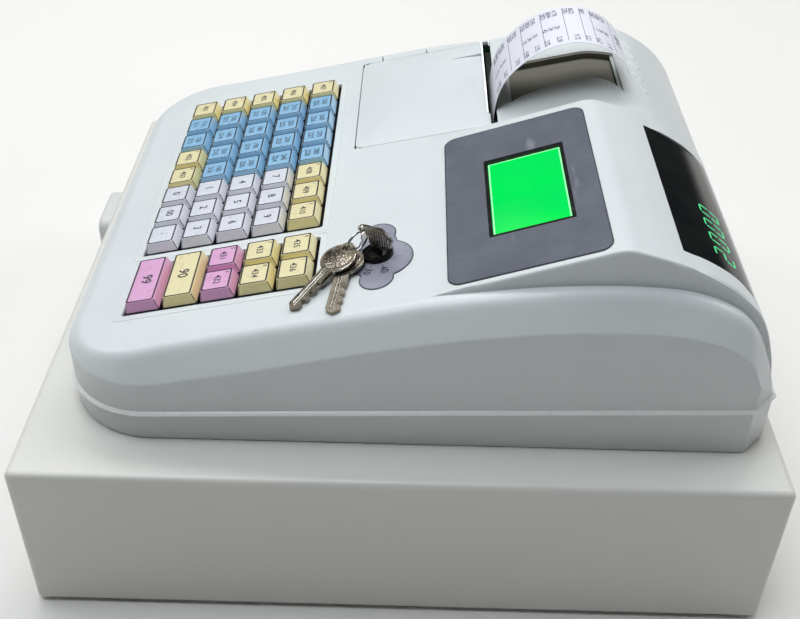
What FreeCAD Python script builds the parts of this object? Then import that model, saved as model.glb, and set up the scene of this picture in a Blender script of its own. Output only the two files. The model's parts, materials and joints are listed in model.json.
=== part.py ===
import FreeCAD, Part
import os
import math
import Sketcher
from FreeCAD import Vector, Placement, Rotation

# A counter-top ticket register: a steel housing with a sliding cash drawer, and on it a
# two-part plastic case with keypad, ticket printer, operator display on a raised pod,
# customer display on the back slope and a mode lock with its keys.
# +X is the operator's right, +Y the back, +Z up. Z = 0 is under the feet. The pieces are
# laid out about the middle of the drawer housing, and all move back by front_shift at the
# end, so that the origin lies under the middle of the whole outline with its front boss.

doc = FreeCAD.newDocument("ticket_register")
sheet = doc.addObject("Spreadsheet::Sheet", "dims")
CELLS = [
    ("foot_high", 4.0), ("foot_dia", 20.0),
    ("base_wide", 396.2), ("base_deep", 420.0), ("base_high", 100.8),
    ("base_round", 4.1), ("steel", 1.5), ("lip_side", 3.6), ("lip_low", 5.0), ("lip_top", 7.8),
    ("case_half", 168.0), ("case_front", -187.0), ("case_back", 200.0),
    ("case_corner", 50.0), ("case_chamfer", 13.0), ("case_wall", 2.5),
    ("part_line", 127.6), ("part_rise", 0.0385), ("trim_high", 2.1), ("trim_out", 1.0),
    ("deck_zero", 189.9), ("deck_rise", 0.2267),
    ("pod_zero", 195.0), ("pod_start", 20.0), ("pod_rise", 0.33),
    ("pod_left", -17.0), ("block_half", 148.5),
    ("band_steep", 1.35), ("band_high", 17.0), ("band_low", 142.6),
    ("key_pitch_u", 22.9), ("key_pitch_v", 21.7), ("key_first_v", -148.3), ("key_last_u", 53.5),
    ("key_base_u", 21.4), ("key_base_v", 20.2), ("key_top_u", 18.4), ("key_top_v", 16.4),
    ("key_rise", 5.8), ("key_sink", 1.2), ("key_gap_u", 11.8), ("key_stem", 4.0),
    ("drawer_half", 182.0), ("drawer_back", 165.0), ("drawer_wall", 1.2),
    ("drawer_low", 10.0), ("drawer_top", 88.0),
    ("tray_half", 180.0), ("tray_front", -186.0), ("tray_back", 150.0),
    ("tray_low", 11.2), ("tray_top", 80.0), ("tray_wall", 2.0),
    ("cover_left", -144.4), ("cover_right", -20.4), ("cover_thick", 2.5),
    ("paper_wide", 57.0), ("paper_mid", -66.5), ("roll_radius", 24.0), ("roll_core", 6.0),
    ("roll_y", 8.0), ("roll_z", 160.0),
    ("platen_radius", 7.0), ("platen_y", 47.0), ("platen_z", 183.0), ("gear_module", 0.8),
    ("screen_left", 30.0), ("screen_right", 110.5), ("screen_front", 45.0), ("screen_back", 90.0),
    ("label_left", -7.0), ("label_right", 145.5), ("label_front", 22.5), ("label_back", 105.0),
    ("lock_u", 104.6), ("lock_v", -15.0), ("lock_radius", 8.75), ("plug_radius", 5.4),
    ("key_thick", 1.8), ("ring_radius", 7.7), ("ring_wire", 0.7), ("front_shift", 6.5),
]
for row, (alias, value) in enumerate(CELLS, start=1):
    cell = "B%d" % row
    sheet.set("A%d" % row, alias)
    sheet.set(cell, str(value))
    sheet.setAlias(cell, alias)
doc.recompute()
D = {alias: float(sheet.get(alias)) for alias, value in CELLS}

DECK = math.degrees(math.atan(D["deck_rise"]))
POD = math.degrees(math.atan(D["pod_rise"]))
COSD, SIND = math.cos(math.radians(DECK)), math.sin(math.radians(DECK))
COSP, SINP = math.cos(math.radians(POD)), math.sin(math.radians(POD))


def q(value):
    """A size or position as text for a bound property."""
    return value if isinstance(value, str) else repr(float(value))


def bind(obj, prop, value):
    """Bind a property to the sheet when the value is an expression, else set it."""
    if isinstance(value, str):
        obj.setExpression(prop, value)
    else:
        setattr(obj, prop, float(value))


def place(obj, at, pl=None):
    """Place an object at a point, which may hold expressions, or in a tilted frame."""
    if pl is None:
        nums = [0.0 if isinstance(c, str) else float(c) for c in at]
        obj.Placement = Placement(Vector(*nums), Rotation())
        for axis, c in zip("xyz", at):
            if isinstance(c, str):
                obj.setExpression(".Placement.Base." + axis, c)
    else:
        obj.Placement = pl.multiply(Placement(Vector(*[float(c) for c in at]), Rotation()))
    return obj


def box(name, at, size, pl=None):
    obj = doc.addObject("Part::Box", name)
    for prop, value in zip(("Length", "Width", "Height"), size):
        bind(obj, prop, value)
    return place(obj, at, pl)


TURN = {"z": Rotation(), "x": Rotation(Vector(0, 1, 0), 90), "y": Rotation(Vector(1, 0, 0), -90)}


def cyl(name, at, radius, height, axis="z", pl=None):
    """A cylinder that starts at a point and runs along +X, +Y or +Z."""
    obj = doc.addObject("Part::Cylinder", name)
    bind(obj, "Radius", radius)
    bind(obj, "Height", height)
    local = Placement(Vector(*[float(c) for c in at]), TURN[axis])
    obj.Placement = pl.multiply(local) if pl is not None else local
    return obj


def fuse(name, parts):
    obj = doc.addObject("Part::MultiFuse", name)
    obj.Shapes = parts
    return obj


def cut(name, base, tools):
    obj = doc.addObject("Part::Cut", name)
    obj.Base = base
    if isinstance(tools, (list, tuple)):
        if len(tools) == 1:
            tools = tools[0]
        else:
            group = doc.addObject("Part::Compound", name + "_tools")
            group.Links = list(tools)
            tools = group
    obj.Tool = tools
    return obj


def common(name, a, b):
    obj = doc.addObject("Part::Common", name)
    obj.Base = a
    obj.Tool = b
    return obj


def together(name, parts):
    obj = doc.addObject("Part::Compound", name)
    obj.Links = parts
    return obj


def soften(name, base, pick, radius):
    """Round the edges that pick(edge) chooses."""
    doc.recompute()
    obj = doc.addObject("Part::Fillet", name)
    obj.Base = base
    chosen = [(i, float(radius), float(radius)) for i, e in enumerate(base.Shape.Edges, start=1) if pick(e)]
    if not chosen:
        raise RuntimeError(name + ": no edge to round")
    obj.Edges = chosen
    return obj


def shape(name, solid, pl=None):
    obj = doc.addObject("Part::Feature", name)
    obj.Shape = solid
    if pl is not None:
        obj.Placement = pl.multiply(solid.Placement)
    return obj


def along(e, axis):
    """True for a straight edge along an axis."""
    if e.Curve.TypeId != "Part::GeomLine":
        return False
    d = e.tangentAt(e.FirstParameter)
    return abs(abs(getattr(d, axis)) - 1) < 1e-6


def polygon(points, thick, axis):
    """A closed outline of points, pushed out along one axis. Points are 3-D."""
    wire = Part.makePolygon([Vector(*p) for p in points] + [Vector(*points[0])])
    return Part.Face(wire).extrude(Vector(*axis) * thick)


def origin_plane(body, role):
    for feature in body.Origin.OriginFeatures:
        if feature.Role == role:
            return feature
    raise RuntimeError("no origin plane " + role)


def rect_sketch(body, name, x0, y0, x1, y1, role="XY_Plane", lift=0.0):
    """A rectangle fixed by four bound distances from the origin."""
    sk = body.newObject("Sketcher::SketchObject", name)
    sk.AttachmentSupport = [(origin_plane(body, role), "")]
    sk.MapMode = "FlatFace"
    sk.AttachmentOffset = Placement(Vector(0, 0, lift), Rotation())
    nx0, ny0, nx1, ny1 = [number(c) for c in (x0, y0, x1, y1)]
    corners = [(nx0, ny0), (nx1, ny0), (nx1, ny1), (nx0, ny1)]
    for i in range(4):
        a, b = corners[i], corners[(i + 1) % 4]
        sk.addGeometry(Part.LineSegment(Vector(a[0], a[1], 0), Vector(b[0], b[1], 0)), False)
    for i in range(4):
        sk.addConstraint(Sketcher.Constraint("Coincident", i, 2, (i + 1) % 4, 1))
    sk.addConstraint(Sketcher.Constraint("Horizontal", 0))
    sk.addConstraint(Sketcher.Constraint("Horizontal", 2))
    sk.addConstraint(Sketcher.Constraint("Vertical", 1))
    sk.addConstraint(Sketcher.Constraint("Vertical", 3))
    for kind, point, value in (("DistanceX", (0, 1), x0), ("DistanceY", (0, 1), y0),
                               ("DistanceX", (1, 2), x1), ("DistanceY", (1, 2), y1)):
        n = number(value)
        index = sk.addConstraint(Sketcher.Constraint(kind, -1, 1, point[0], point[1], n))
        if isinstance(value, str):
            sk.setExpression("Constraints[%d]" % index, value)
    return sk


def number(value):
    """The number that an expression of sheet cells stands for."""
    if not isinstance(value, str):
        return float(value)
    probe = doc.getObject("probe") or doc.addObject("Part::Box", "probe")
    probe.setExpression("Length", "1000 + (" + value + ")")
    doc.recompute([probe])
    return float(probe.Length) - 1000.0


def case_blank(name, inset, low, top):
    """The case's plan: a block with big round front corners and cut-off back corners."""
    body = doc.addObject("PartDesign::Body", name)
    half = "dims.case_half - %g" % inset
    sk = rect_sketch(body, name + "_plan", "-dims.case_half + %g" % inset, "dims.case_front + %g" % inset,
                     half, "dims.case_back - %g" % inset, lift=low)
    pad = body.newObject("PartDesign::Pad", name + "_pad")
    pad.Profile = sk
    pad.Length = top - low
    sk.Visibility = False
    doc.recompute()
    front, back = [], []
    for i, e in enumerate(pad.Shape.Edges, start=1):
        if along(e, "z"):
            (front if e.Vertexes[0].Y < 0 else back).append("Edge%d" % i)
    rounded = body.newObject("PartDesign::Fillet", name + "_round")
    rounded.Base = (pad, front)
    rounded.setExpression("Radius", "dims.case_corner - %g" % inset)
    doc.recompute()
    back = ["Edge%d" % i for i, e in enumerate(rounded.Shape.Edges, start=1)
            if along(e, "z") and e.Vertexes[0].Y > D["case_back"] - inset - 1]
    bevel = body.newObject("PartDesign::Chamfer", name + "_bevel")
    bevel.Base = (rounded, back)
    bevel.setExpression("Size", "dims.case_chamfer - %g" % (inset * 0.59))
    body.Tip = bevel
    return body


def slope_block(name, zero, rise, below=True):
    """A half-space with a sloping face, zero at Y = 0, below or above that face."""
    tilt = math.degrees(math.atan(rise))
    pl = Placement(Vector(0, 0, zero), Rotation(Vector(1, 0, 0), tilt))
    return box(name, (-300, -300, -400 if below else 0), (600, 700, 400), pl)


DECKPL = Placement(Vector(0, 0, D["deck_zero"]), Rotation(Vector(1, 0, 0), DECK))
PODPL = Placement(Vector(0, D["pod_start"], D["pod_zero"]), Rotation(Vector(1, 0, 0), POD))
nodes = {}

# ---------------------------------------------------------------- drawer housing
# A folded steel box, open at the front inside a narrow lip. Holes in its top let the
# case screws and the latch cable through.
outer = box("housing_outer", ("-dims.base_wide / 2", "-dims.base_deep / 2", "dims.foot_high"),
            ("dims.base_wide", "dims.base_deep", "dims.base_high"))
doc.recompute()
ztop = D["foot_high"] + D["base_high"]


def top_or_upright(z):
    return lambda e: along(e, "z") or (abs(e.Vertexes[0].Z - z) < 1e-6 and abs(e.Vertexes[-1].Z - z) < 1e-6)


outer_r = soften("housing_skin", outer, top_or_upright(ztop), D["base_round"])
inner = box("housing_inner", ("-dims.base_wide / 2 + dims.steel", "-dims.base_deep / 2 + dims.steel",
                              "dims.foot_high + dims.steel"),
            ("dims.base_wide - 2 * dims.steel", "dims.base_deep - 2 * dims.steel",
             "dims.base_high - 2 * dims.steel"))
doc.recompute()
inner_r = soften("housing_space", inner, top_or_upright(ztop - D["steel"]), D["base_round"] - D["steel"])
mouth = box("housing_mouth", ("-dims.base_wide / 2 + dims.lip_side", -215, "dims.foot_high + dims.lip_low"),
            ("dims.base_wide - 2 * dims.lip_side", 8, "dims.base_high - dims.lip_low - dims.lip_top"))
SCREWS = [(-140, -110), (140, -110), (-140, 160), (140, 160)]
holes = [cyl("screw_hole_%d" % i, (x, y, ztop - 6), 2.05, 8) for i, (x, y) in enumerate(SCREWS)]
cable = box("cable_hole", (-25, 150, ztop - 6), (50, 25, 8))
nodes["drawer_housing"] = cut("drawer_housing", outer_r, [inner_r, mouth, cable] + holes)

# Four moulded rubber feet, turned from a profile with a bevelled sole.
feet = []
foot_profile = doc.addObject("PartDesign::Body", "foot")
fs = foot_profile.newObject("Sketcher::SketchObject", "foot_half")
fs.AttachmentSupport = [(origin_plane(foot_profile, "XZ_Plane"), "")]
fs.MapMode = "FlatFace"
fp = [(0, 0), (D["foot_dia"] / 2 - 1, 0), (D["foot_dia"] / 2, 1), (D["foot_dia"] / 2, D["foot_high"]), (0, D["foot_high"])]
for i in range(5):
    a, b = fp[i], fp[(i + 1) % 5]
    fs.addGeometry(Part.LineSegment(Vector(a[0], a[1], 0), Vector(b[0], b[1], 0)), False)
for i in range(5):
    fs.addConstraint(Sketcher.Constraint("Coincident", i, 2, (i + 1) % 5, 1))
fs.addConstraint(Sketcher.Constraint("Coincident", 0, 1, -1, 1))
for i in (0, 3):
    fs.addConstraint(Sketcher.Constraint("Horizontal", i))
for i in (2, 4):
    fs.addConstraint(Sketcher.Constraint("Vertical", i))
k1 = fs.addConstraint(Sketcher.Constraint("DistanceX", -1, 1, 3, 1, D["foot_dia"] / 2))
k2 = fs.addConstraint(Sketcher.Constraint("DistanceY", -1, 1, 3, 1, D["foot_high"]))
fs.addConstraint(Sketcher.Constraint("DistanceX", -1, 1, 0, 2, D["foot_dia"] / 2 - 1))
fs.addConstraint(Sketcher.Constraint("DistanceY", -1, 1, 1, 2, 1.0))
fs.setExpression("Constraints[%d]" % k1, "dims.foot_dia / 2")
fs.setExpression("Constraints[%d]" % k2, "dims.foot_high")
rev = foot_profile.newObject("PartDesign::Revolution", "foot_turn")
rev.Profile = fs
rev.ReferenceAxis = (fs, ["V_Axis"])
rev.Angle = 360
foot_profile.Tip = rev
for i, (x, y) in enumerate([(-172, -186), (172, -186), (-172, 186), (172, 186)]):
    link = doc.addObject("App::Link", "foot_%d" % i)
    link.LinkedObject = foot_profile
    link.Placement = Placement(Vector(x, y, 0), Rotation())
    feet.append(link)
nodes["rubber_feet"] = together("rubber_feet", feet)

# ---------------------------------------------------------------- slide rails
# A C-shaped steel channel on each side wall, open towards the drawer.
rails = []
for side in (-1, 1):
    web_x = 195.1 if side > 0 else -196.6
    lip_x = 184.0 if side > 0 else -195.1
    tag = "right" if side > 0 else "left"
    rails.append(fuse("rail_" + tag, [
        box("rail_web_" + tag, (web_x, -200, 40), (1.5, 400, 30)),
        box("rail_top_" + tag, (lip_x, -200, 68.5), (11.1, 400, 1.5)),
        box("rail_low_" + tag, (lip_x, -200, 40), (11.1, 400, 1.5))]))
nodes["slide_rails"] = together("slide_rails", rails)

# ---------------------------------------------------------------- drawer
# Folded steel tray with a runner on each side that slides in the channel, and a
# striker tab on its back wall for the latch.
db_outer = box("drawer_outer", ("-dims.drawer_half", -205, "dims.drawer_low"),
               ("2 * dims.drawer_half", "dims.drawer_back + 205", "dims.drawer_top - dims.drawer_low"))
db_inner = box("drawer_inner", ("-dims.drawer_half + dims.drawer_wall", "-205 + dims.drawer_wall",
                                "dims.drawer_low + dims.drawer_wall"),
               ("2 * (dims.drawer_half - dims.drawer_wall)", "dims.drawer_back + 205 - 2 * dims.drawer_wall", 100))
db_shell = cut("drawer_shell", db_outer, [db_inner, cyl("drawer_lock_hole", (-83, -207, 80), 8.5, 6, "y")])
runners = []
for side in (-1, 1):
    tag = "right" if side > 0 else "left"
    x0 = 182.0 if side > 0 else -194.1
    web = 192.6 if side > 0 else -194.1
    runners += [box("runner_low_" + tag, (x0, -204, 42.0), (12.1, 369, 1.5)),
                box("runner_top_" + tag, (x0, -204, 66.5), (12.1, 369, 1.5)),
                box("runner_web_" + tag, (web, -204, 42.0), (1.5, 369, 26.0))]
striker = [box("striker_plate", (-9, "dims.drawer_back", 44), (18, 18, 2)),
           box("striker_lip", (-9, "dims.drawer_back + 16.5", 38.2), (18, 1.5, 6.3)),
           box("striker_foot", (-14, "dims.drawer_back", 40), (28, 1.5, 14))]
nodes["drawer_box"] = fuse("drawer_box", [db_shell] + runners + striker)

# The front panel fills the mouth, with a raised round-cornered grip and lock boss
# towards the operator's left.
panel = soften("front_plate", box("front_blank", (-193.9, -210, 9.6), (387.8, 5, 86.8)),
               lambda e: along(e, "y"), 2.0)
boss_blank = box("boss_blank", (-107.5, -223, 62), (49, 14, 33))
boss = soften("boss_round", boss_blank, lambda e: along(e, "y"), 9.0)
boss2 = soften("boss_face", boss, lambda e: all(abs(v.Y + 223) < 1e-6 for v in e.Vertexes), 4.0)
nodes["drawer_front"] = cut("drawer_front", fuse("front_whole", [panel, boss2]),
                            [cyl("lock_bore", (-83, -226, 80), 7.0, 24, "y")])

# Lock cylinder with key slot, and the cam behind the panel.
lock_body = fuse("lock_whole", [cyl("lock_cyl", (-83, -222.7, 80), 6.95, 25.7, "y"),
                                box("lock_cam", (-102, -200.5, 76), (19, 2.5, 8)),
                                cyl("lock_nut", (-83, -202.5, 80), 6.0, 5.0, "y")])
nodes["drawer_lock"] = cut("drawer_lock", lock_body, [box("lock_slot", (-84, -224, 76), (2, 10, 8))])

# Lift-out tray: four note bays at the back, eight coin cups in two rows at the front.
tray_outer = box("tray_outer", ("-dims.tray_half", "dims.tray_front", "dims.tray_low"),
                 ("2 * dims.tray_half", "dims.tray_back - dims.tray_front", "dims.tray_top - dims.tray_low"))
pockets = []
bay = (2 * D["tray_half"] - 5 * D["tray_wall"]) / 4
for c in range(4):
    x = -D["tray_half"] + D["tray_wall"] + c * (bay + D["tray_wall"])
    for r, (y0, y1, zf) in enumerate([(-184, -124, 16), (-122, -62, 16), (-60, 148, 13.2)]):
        pockets.append(box("pocket_%d_%d" % (c, r), (x, y0, zf), (bay, y1 - y0, 80)))
# the coin walls are lower than the note walls
low_coin = box("coin_low", (-177.9, -183.9, 62), (355.8, 121.8, 30))
axle_way = cyl("axle_way", (-176.5, 138, 74), 2.6, 353, "x")
nodes["cash_tray"] = cut("cash_tray", tray_outer, pockets + [low_coin, axle_way])

# Four note clips on one axle across the back of the note bays.
clip_parts = [cyl("clip_axle", (-176, 138, 74), 2.5, 352, "x")]
for c in range(4):
    x = -D["tray_half"] + D["tray_wall"] + c * (bay + D["tray_wall"]) + bay / 2
    pl = Placement(Vector(x, 138, 74), Rotation(Vector(1, 0, 0), 26))
    clip_parts += [cyl("clip_hub_%d" % c, (x - 10, 138, 74), 4.5, 20, "x"),
                   box("clip_arm_%d" % c, (-8, -112, -1.5), (16, 112, 3), pl),
                   box("clip_pad_%d" % c, (-14, -124, -2), (28, 16, 4), pl)]
nodes["bill_clips"] = fuse("bill_clips", clip_parts)

# ---------------------------------------------------------------- drawer latch
sol_frame = fuse("solenoid_frame", [box("coil_can", (-16, 177, 5.5), (32, 23, 16)),
                                    box("ear_left", (-12, 192, 21.5), (2, 12, 18)),
                                    box("ear_right", (10, 192, 21.5), (2, 12, 18)),
                                    box("frame_tail", (-16, 200, 5.5), (32, 6, 16)),
                                    cyl("latch_pin", (-10, 198, 33), 2.0, 20, "x")])
nodes["latch_solenoid"] = cut("latch_solenoid", sol_frame, [cyl("plunger_bore", (0, 186, 8), 4.05, 20)])
nodes["latch_plunger"] = fuse("latch_plunger", [cyl("plunger_rod", (0, 186, 12), 4.0, 13.0),
                                                cyl("plunger_head", (0, 186, 24.0), 5.5, 1.6)])
hook_pl = Placement(Vector(0, 198, 33), Rotation(Vector(1, 0, 0), 15))
hook_body = fuse("hook_whole", [cyl("hook_hub", (-8, 198, 33), 4.5, 16, "x"),
                                box("hook_arm", (-6, -22, -2.0), (12, 22, 4.0), hook_pl),
                                box("hook_nose", (-6, -22.0, 2.0), (12, 4.2, 7.0), hook_pl)])
nodes["latch_hook"] = cut("latch_hook", hook_body, [cyl("hook_bore", (-9, 198, 33), 2.05, 18, "x")])
# A bowed steel leaf that pushes the freed drawer out.
leaf_mid = Part.Arc(Vector(0, 207.6, 24), Vector(0, 167.2, 52), Vector(0, 207.6, 80)).toShape()
leaf_out = Part.Arc(Vector(0, 208.5, 24), Vector(0, 166.2, 52), Vector(0, 208.5, 80)).toShape()
leaf_wire = Part.Wire([leaf_out, Part.makeLine(Vector(0, 208.5, 80), Vector(0, 207.6, 80)),
                       leaf_mid, Part.makeLine(Vector(0, 207.6, 24), Vector(0, 208.5, 24))])
leaf = Part.Face(leaf_wire).extrude(Vector(18, 0, 0))
leaf.translate(Vector(60, 0, 0))
nodes["eject_spring"] = shape("eject_spring", leaf)

# ---------------------------------------------------------------- lower case
wall = D["case_wall"]
lc_low = ztop
lc_out = case_blank("lower_outer", 0, lc_low, lc_low + 60)
lc_in = case_blank("lower_inner", wall, lc_low + wall, lc_low + 61)
lc_trim = case_blank("trim_outer", -D["trim_out"], lc_low + 1, lc_low + 60)
doc.recompute()
shell_low = common("lower_wedge", lc_out, slope_block("lower_top", D["part_line"] + D["trim_high"], D["part_rise"]))
trim_a = common("trim_upper", lc_trim, slope_block("trim_top", D["part_line"] + D["trim_high"], D["part_rise"]))
trim_b = cut("trim_strip", trim_a, [slope_block("trim_low", D["part_line"], D["part_rise"])])
low_whole = fuse("lower_whole", [shell_low, trim_b])
low_cuts = [lc_in, cyl("inlet_hole", (120, 190, 116), 6.0, 20, "y"),
            box("case_cable_hole", (-25, 150, lc_low - 1), (50, 25, 6))]
low_cuts += [cyl("case_screw_hole_%d" % i, (x, y, lc_low - 1), 2.05, 8) for i, (x, y) in enumerate(SCREWS)]
low_shell = cut("lower_shell", low_whole, low_cuts)
posts = [cyl("board_post_%d" % i, (x, y, lc_low + 1), 3.5, 13.5) for i, (x, y) in
         enumerate([(-100, -150), (60, -150), (-100, -60), (60, -60)])]
nodes["lower_case"] = fuse("lower_case", [low_shell] + posts)
nodes["case_screws"] = together("case_screws", [
    fuse("screw_%d" % i, [cyl("screw_shank_%d" % i, (x, y, ztop - 8), 2.0, 11),
                          cyl("screw_head_%d" % i, (x, y, ztop + wall), 3.8, 2.6)])
    for i, (x, y) in enumerate(SCREWS)])

# ---------------------------------------------------------------- upper case
# Side profile lines, each a run of (y, z): where the dark side wall ends, the ledge
# outside the raised block, the block's own back, and the display pod over it.
SIDE = [(-133, 142.6), (-120, 146.0), (-106, 148.9), (-79, 154.6), (-53, 160.9), (-27, 167.1), (-1, 172.7),
        (24, 177.6), (49, 181.3), (74, 184.1), (99, 185.6), (124, 185.6), (150, 182.5), (172, 173.6),
        (182, 163.4), (186.6, 153.2), (190, 145.0)]
LEDGE = [(24, 194.6), (49, 198.3), (74, 201.1), (99, 202.6), (124, 202.6), (150, 199.5), (166, 193.6),
         (176, 187.2), (184, 178.0), (190, 167.5), (194, 158.0), (197.5, 147.0), (200, 132.0)]
BLOCK = [(118, 216.2), (126, 216.2), (137, 215.0), (150, 211.4), (161, 205.8), (170.4, 199.6), (177.2, 193.5),
         (182.2, 187.7), (186.5, 181.4), (190.4, 173.6), (194, 163.5), (197.5, 150.0), (200, 134.0)]
PODBACK = [(110, 224.1), (114, 223.8), (120, 222.2), (131, 219.0), (142, 214.8), (155, 208.4), (165, 202.4),
           (174, 195.8), (182, 188.4), (187, 181.8), (191, 173.4), (194.3, 163.7), (197.7, 150.0), (200, 134.0)]


def deck_z(y):
    return D["deck_zero"] + D["deck_rise"] * y


def pod_z(y):
    return D["pod_zero"] + D["pod_rise"] * (y - D["pod_start"])


def inset_line(points, gap):
    """Move a run of (y, z) points in by a gap, square to the run."""
    out = []
    for i, (y, z) in enumerate(points):
        a = points[max(i - 1, 0)]
        b = points[min(i + 1, len(points) - 1)]
        dy, dz = b[0] - a[0], b[1] - a[1]
        n = math.hypot(dy, dz)
        out.append((y + gap * dz / n, z - gap * dy / n))
    return out


def smooth_edge(points, x):
    curve = Part.BSplineCurve()
    curve.interpolate([Vector(x, y, z) for y, z in points])
    return curve.toShape()


def profile_prism(flat, curved, x0, x1, floor=60.0):
    """Push out a side profile: straight points, then a smooth run down to the back."""
    pts = [Vector(x0, y, z) for y, z in flat]
    back = curved[-1]
    edges = [Part.makeLine(pts[i], pts[i + 1]) for i in range(len(pts) - 1)]
    edges.append(Part.makeLine(pts[-1], Vector(x0, curved[0][0], curved[0][1])))
    edges.append(smooth_edge(curved, x0))
    edges.append(Part.makeLine(Vector(x0, back[0], back[1]), Vector(x0, back[0], floor)))
    edges.append(Part.makeLine(Vector(x0, back[0], floor), Vector(x0, flat[0][0], floor)))
    edges.append(Part.makeLine(Vector(x0, flat[0][0], floor), pts[0]))
    return Part.Face(Part.Wire(edges)).extrude(Vector(x1 - x0, 0, 0))


def case_plan(inset, drop=0.0):
    """The plan outline as a wire at height drop, moved in by an inset."""
    h_, f, b = D["case_half"] - inset, D["case_front"] + inset, D["case_back"] - inset
    r = max(D["case_corner"] - inset, 1.0)
    c = max(D["case_chamfer"] - inset * 0.59, 0.5)
    s = r * math.sqrt(0.5)
    z = drop
    return Part.Wire([
        Part.makeLine(Vector(-h_ + r, f, z), Vector(h_ - r, f, z)),
        Part.Arc(Vector(h_ - r, f, z), Vector(h_ - r + s, f + r - s, z), Vector(h_, f + r, z)).toShape(),
        Part.makeLine(Vector(h_, f + r, z), Vector(h_, b - c, z)),
        Part.makeLine(Vector(h_, b - c, z), Vector(h_ - c, b, z)),
        Part.makeLine(Vector(h_ - c, b, z), Vector(-h_ + c, b, z)),
        Part.makeLine(Vector(-h_ + c, b, z), Vector(-h_, b - c, z)),
        Part.makeLine(Vector(-h_, b - c, z), Vector(-h_, f + r, z)),
        Part.Arc(Vector(-h_, f + r, z), Vector(-h_ + r - s, f + r - s, z), Vector(-h_ + r, f, z)).toShape()])


def upper_solid(gap):
    """The upper case as a full solid, taken in by a gap on every side but the bottom."""
    k = D["band_steep"]
    half = D["case_half"] - gap
    drop = gap * math.sqrt(1 + k * k) - gap * k
    dk = gap / COSD
    pk = gap / COSP
    prism = Part.Face(case_plan(gap)).extrude(Vector(0, 0, 300))
    split = -133.0
    # main body under the deck and the ledge
    front_z = deck_z(-260.0) - dk
    ledge_in = inset_line(LEDGE, gap) if gap else LEDGE
    ledge_in = ledge_in[:-1] + [(D["case_back"] - gap, ledge_in[-1][1])]
    main = profile_prism([(-260.0, front_z), (8.0, deck_z(8.0) - dk)], ledge_in, -half - 1, half + 1).common(prism)
    # bevel band: along the sides it follows the side wall line, round the front it is level
    side = [(y, z - drop) for y, z in SIDE]
    side = [(-300.0, side[0][1])] + side + [(260.0, side[-1][1] - 60)]
    edges = [smooth_edge(side[1:-1], half)]
    edges.insert(0, Part.makeLine(Vector(half, side[0][0], side[0][1]), Vector(half, side[1][0], side[1][1])))
    edges.append(Part.makeLine(Vector(half, side[-2][0], side[-2][1]), Vector(half, side[-1][0], side[-1][1])))
    edges.append(Part.makeLine(Vector(half, side[-1][0], side[-1][1]), Vector(half, 260, -600)))
    edges.append(Part.makeLine(Vector(half, 260, -600), Vector(half, -300, -600)))
    edges.append(Part.makeLine(Vector(half, -300, -600), Vector(half, side[0][0], side[0][1])))
    face = Part.Face(Part.Wire(edges))
    span = 2 * half + 40
    right = face.extrude(Vector(-span, 0, span * k))
    lower = Part.makeBox(60, 560, 400, Vector(half, -300, -200))
    left = right.mirror(Vector(0, 0, 0), Vector(1, 0, 0))
    main = main.common(right).common(left)
    # the level band of the front, a plan that shrinks as it rises
    z0 = D["band_low"] - drop
    step = 30.0
    cone = Part.makeLoft([case_plan(gap, z0), case_plan(gap + step, z0 + k * step)], True, True)
    under = Part.Face(case_plan(gap, 60.0)).extrude(Vector(0, 0, z0 - 60.0))
    nose = under.fuse(cone)
    front_half = Part.makeBox(400, 200, 400, Vector(-200, split - 200, 0))
    rear_half = Part.makeBox(400, 400, 400, Vector(-200, split, 0))
    main = main.common(nose.common(front_half).fuse(rear_half))
    # raised block across the back, and the pod on its right
    bh = D["block_half"] - gap
    block_in = inset_line(BLOCK, gap) if gap else BLOCK
    block_in = block_in[:-1] + [(D["case_back"] - gap, block_in[-1][1])]
    start = 2.0 + gap * 4
    block = profile_prism([(start, deck_z(start) - dk), (112.0, deck_z(112.0) - dk)], block_in, -bh, bh)
    pod_in = inset_line(PODBACK, gap) if gap else PODBACK
    pod_in = pod_in[:-1] + [(D["case_back"] - gap, pod_in[-1][1])]
    p0 = 17.0 + gap * 4
    pod = profile_prism([(p0, pod_z(p0) - pk), (106.0, pod_z(106.0) - pk)], pod_in,
                        D["pod_left"] + gap, D["block_half"] + 1.0 - gap)
    whole = main.fuse(block.common(prism)).fuse(pod.common(prism))
    return whole.removeSplitter()


def above_part_line(solid, lift=0.0):
    tilt = math.degrees(math.atan(D["part_rise"]))
    keep = Part.makeBox(600, 700, 400, Vector(-300, -300, 0))
    keep.Placement = Placement(Vector(0, 0, D["part_line"] + D["trim_high"] + lift), Rotation(Vector(1, 0, 0), tilt))
    return solid.common(keep)


upper_outer_shape = above_part_line(upper_solid(0.0))
upper_inner_shape = above_part_line(upper_solid(wall), -2.0)
upper_outer = shape("upper_outer", upper_outer_shape)
upper_inner = shape("upper_inner", upper_inner_shape)
shell_shape = upper_outer_shape.cut(upper_inner_shape)

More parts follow.
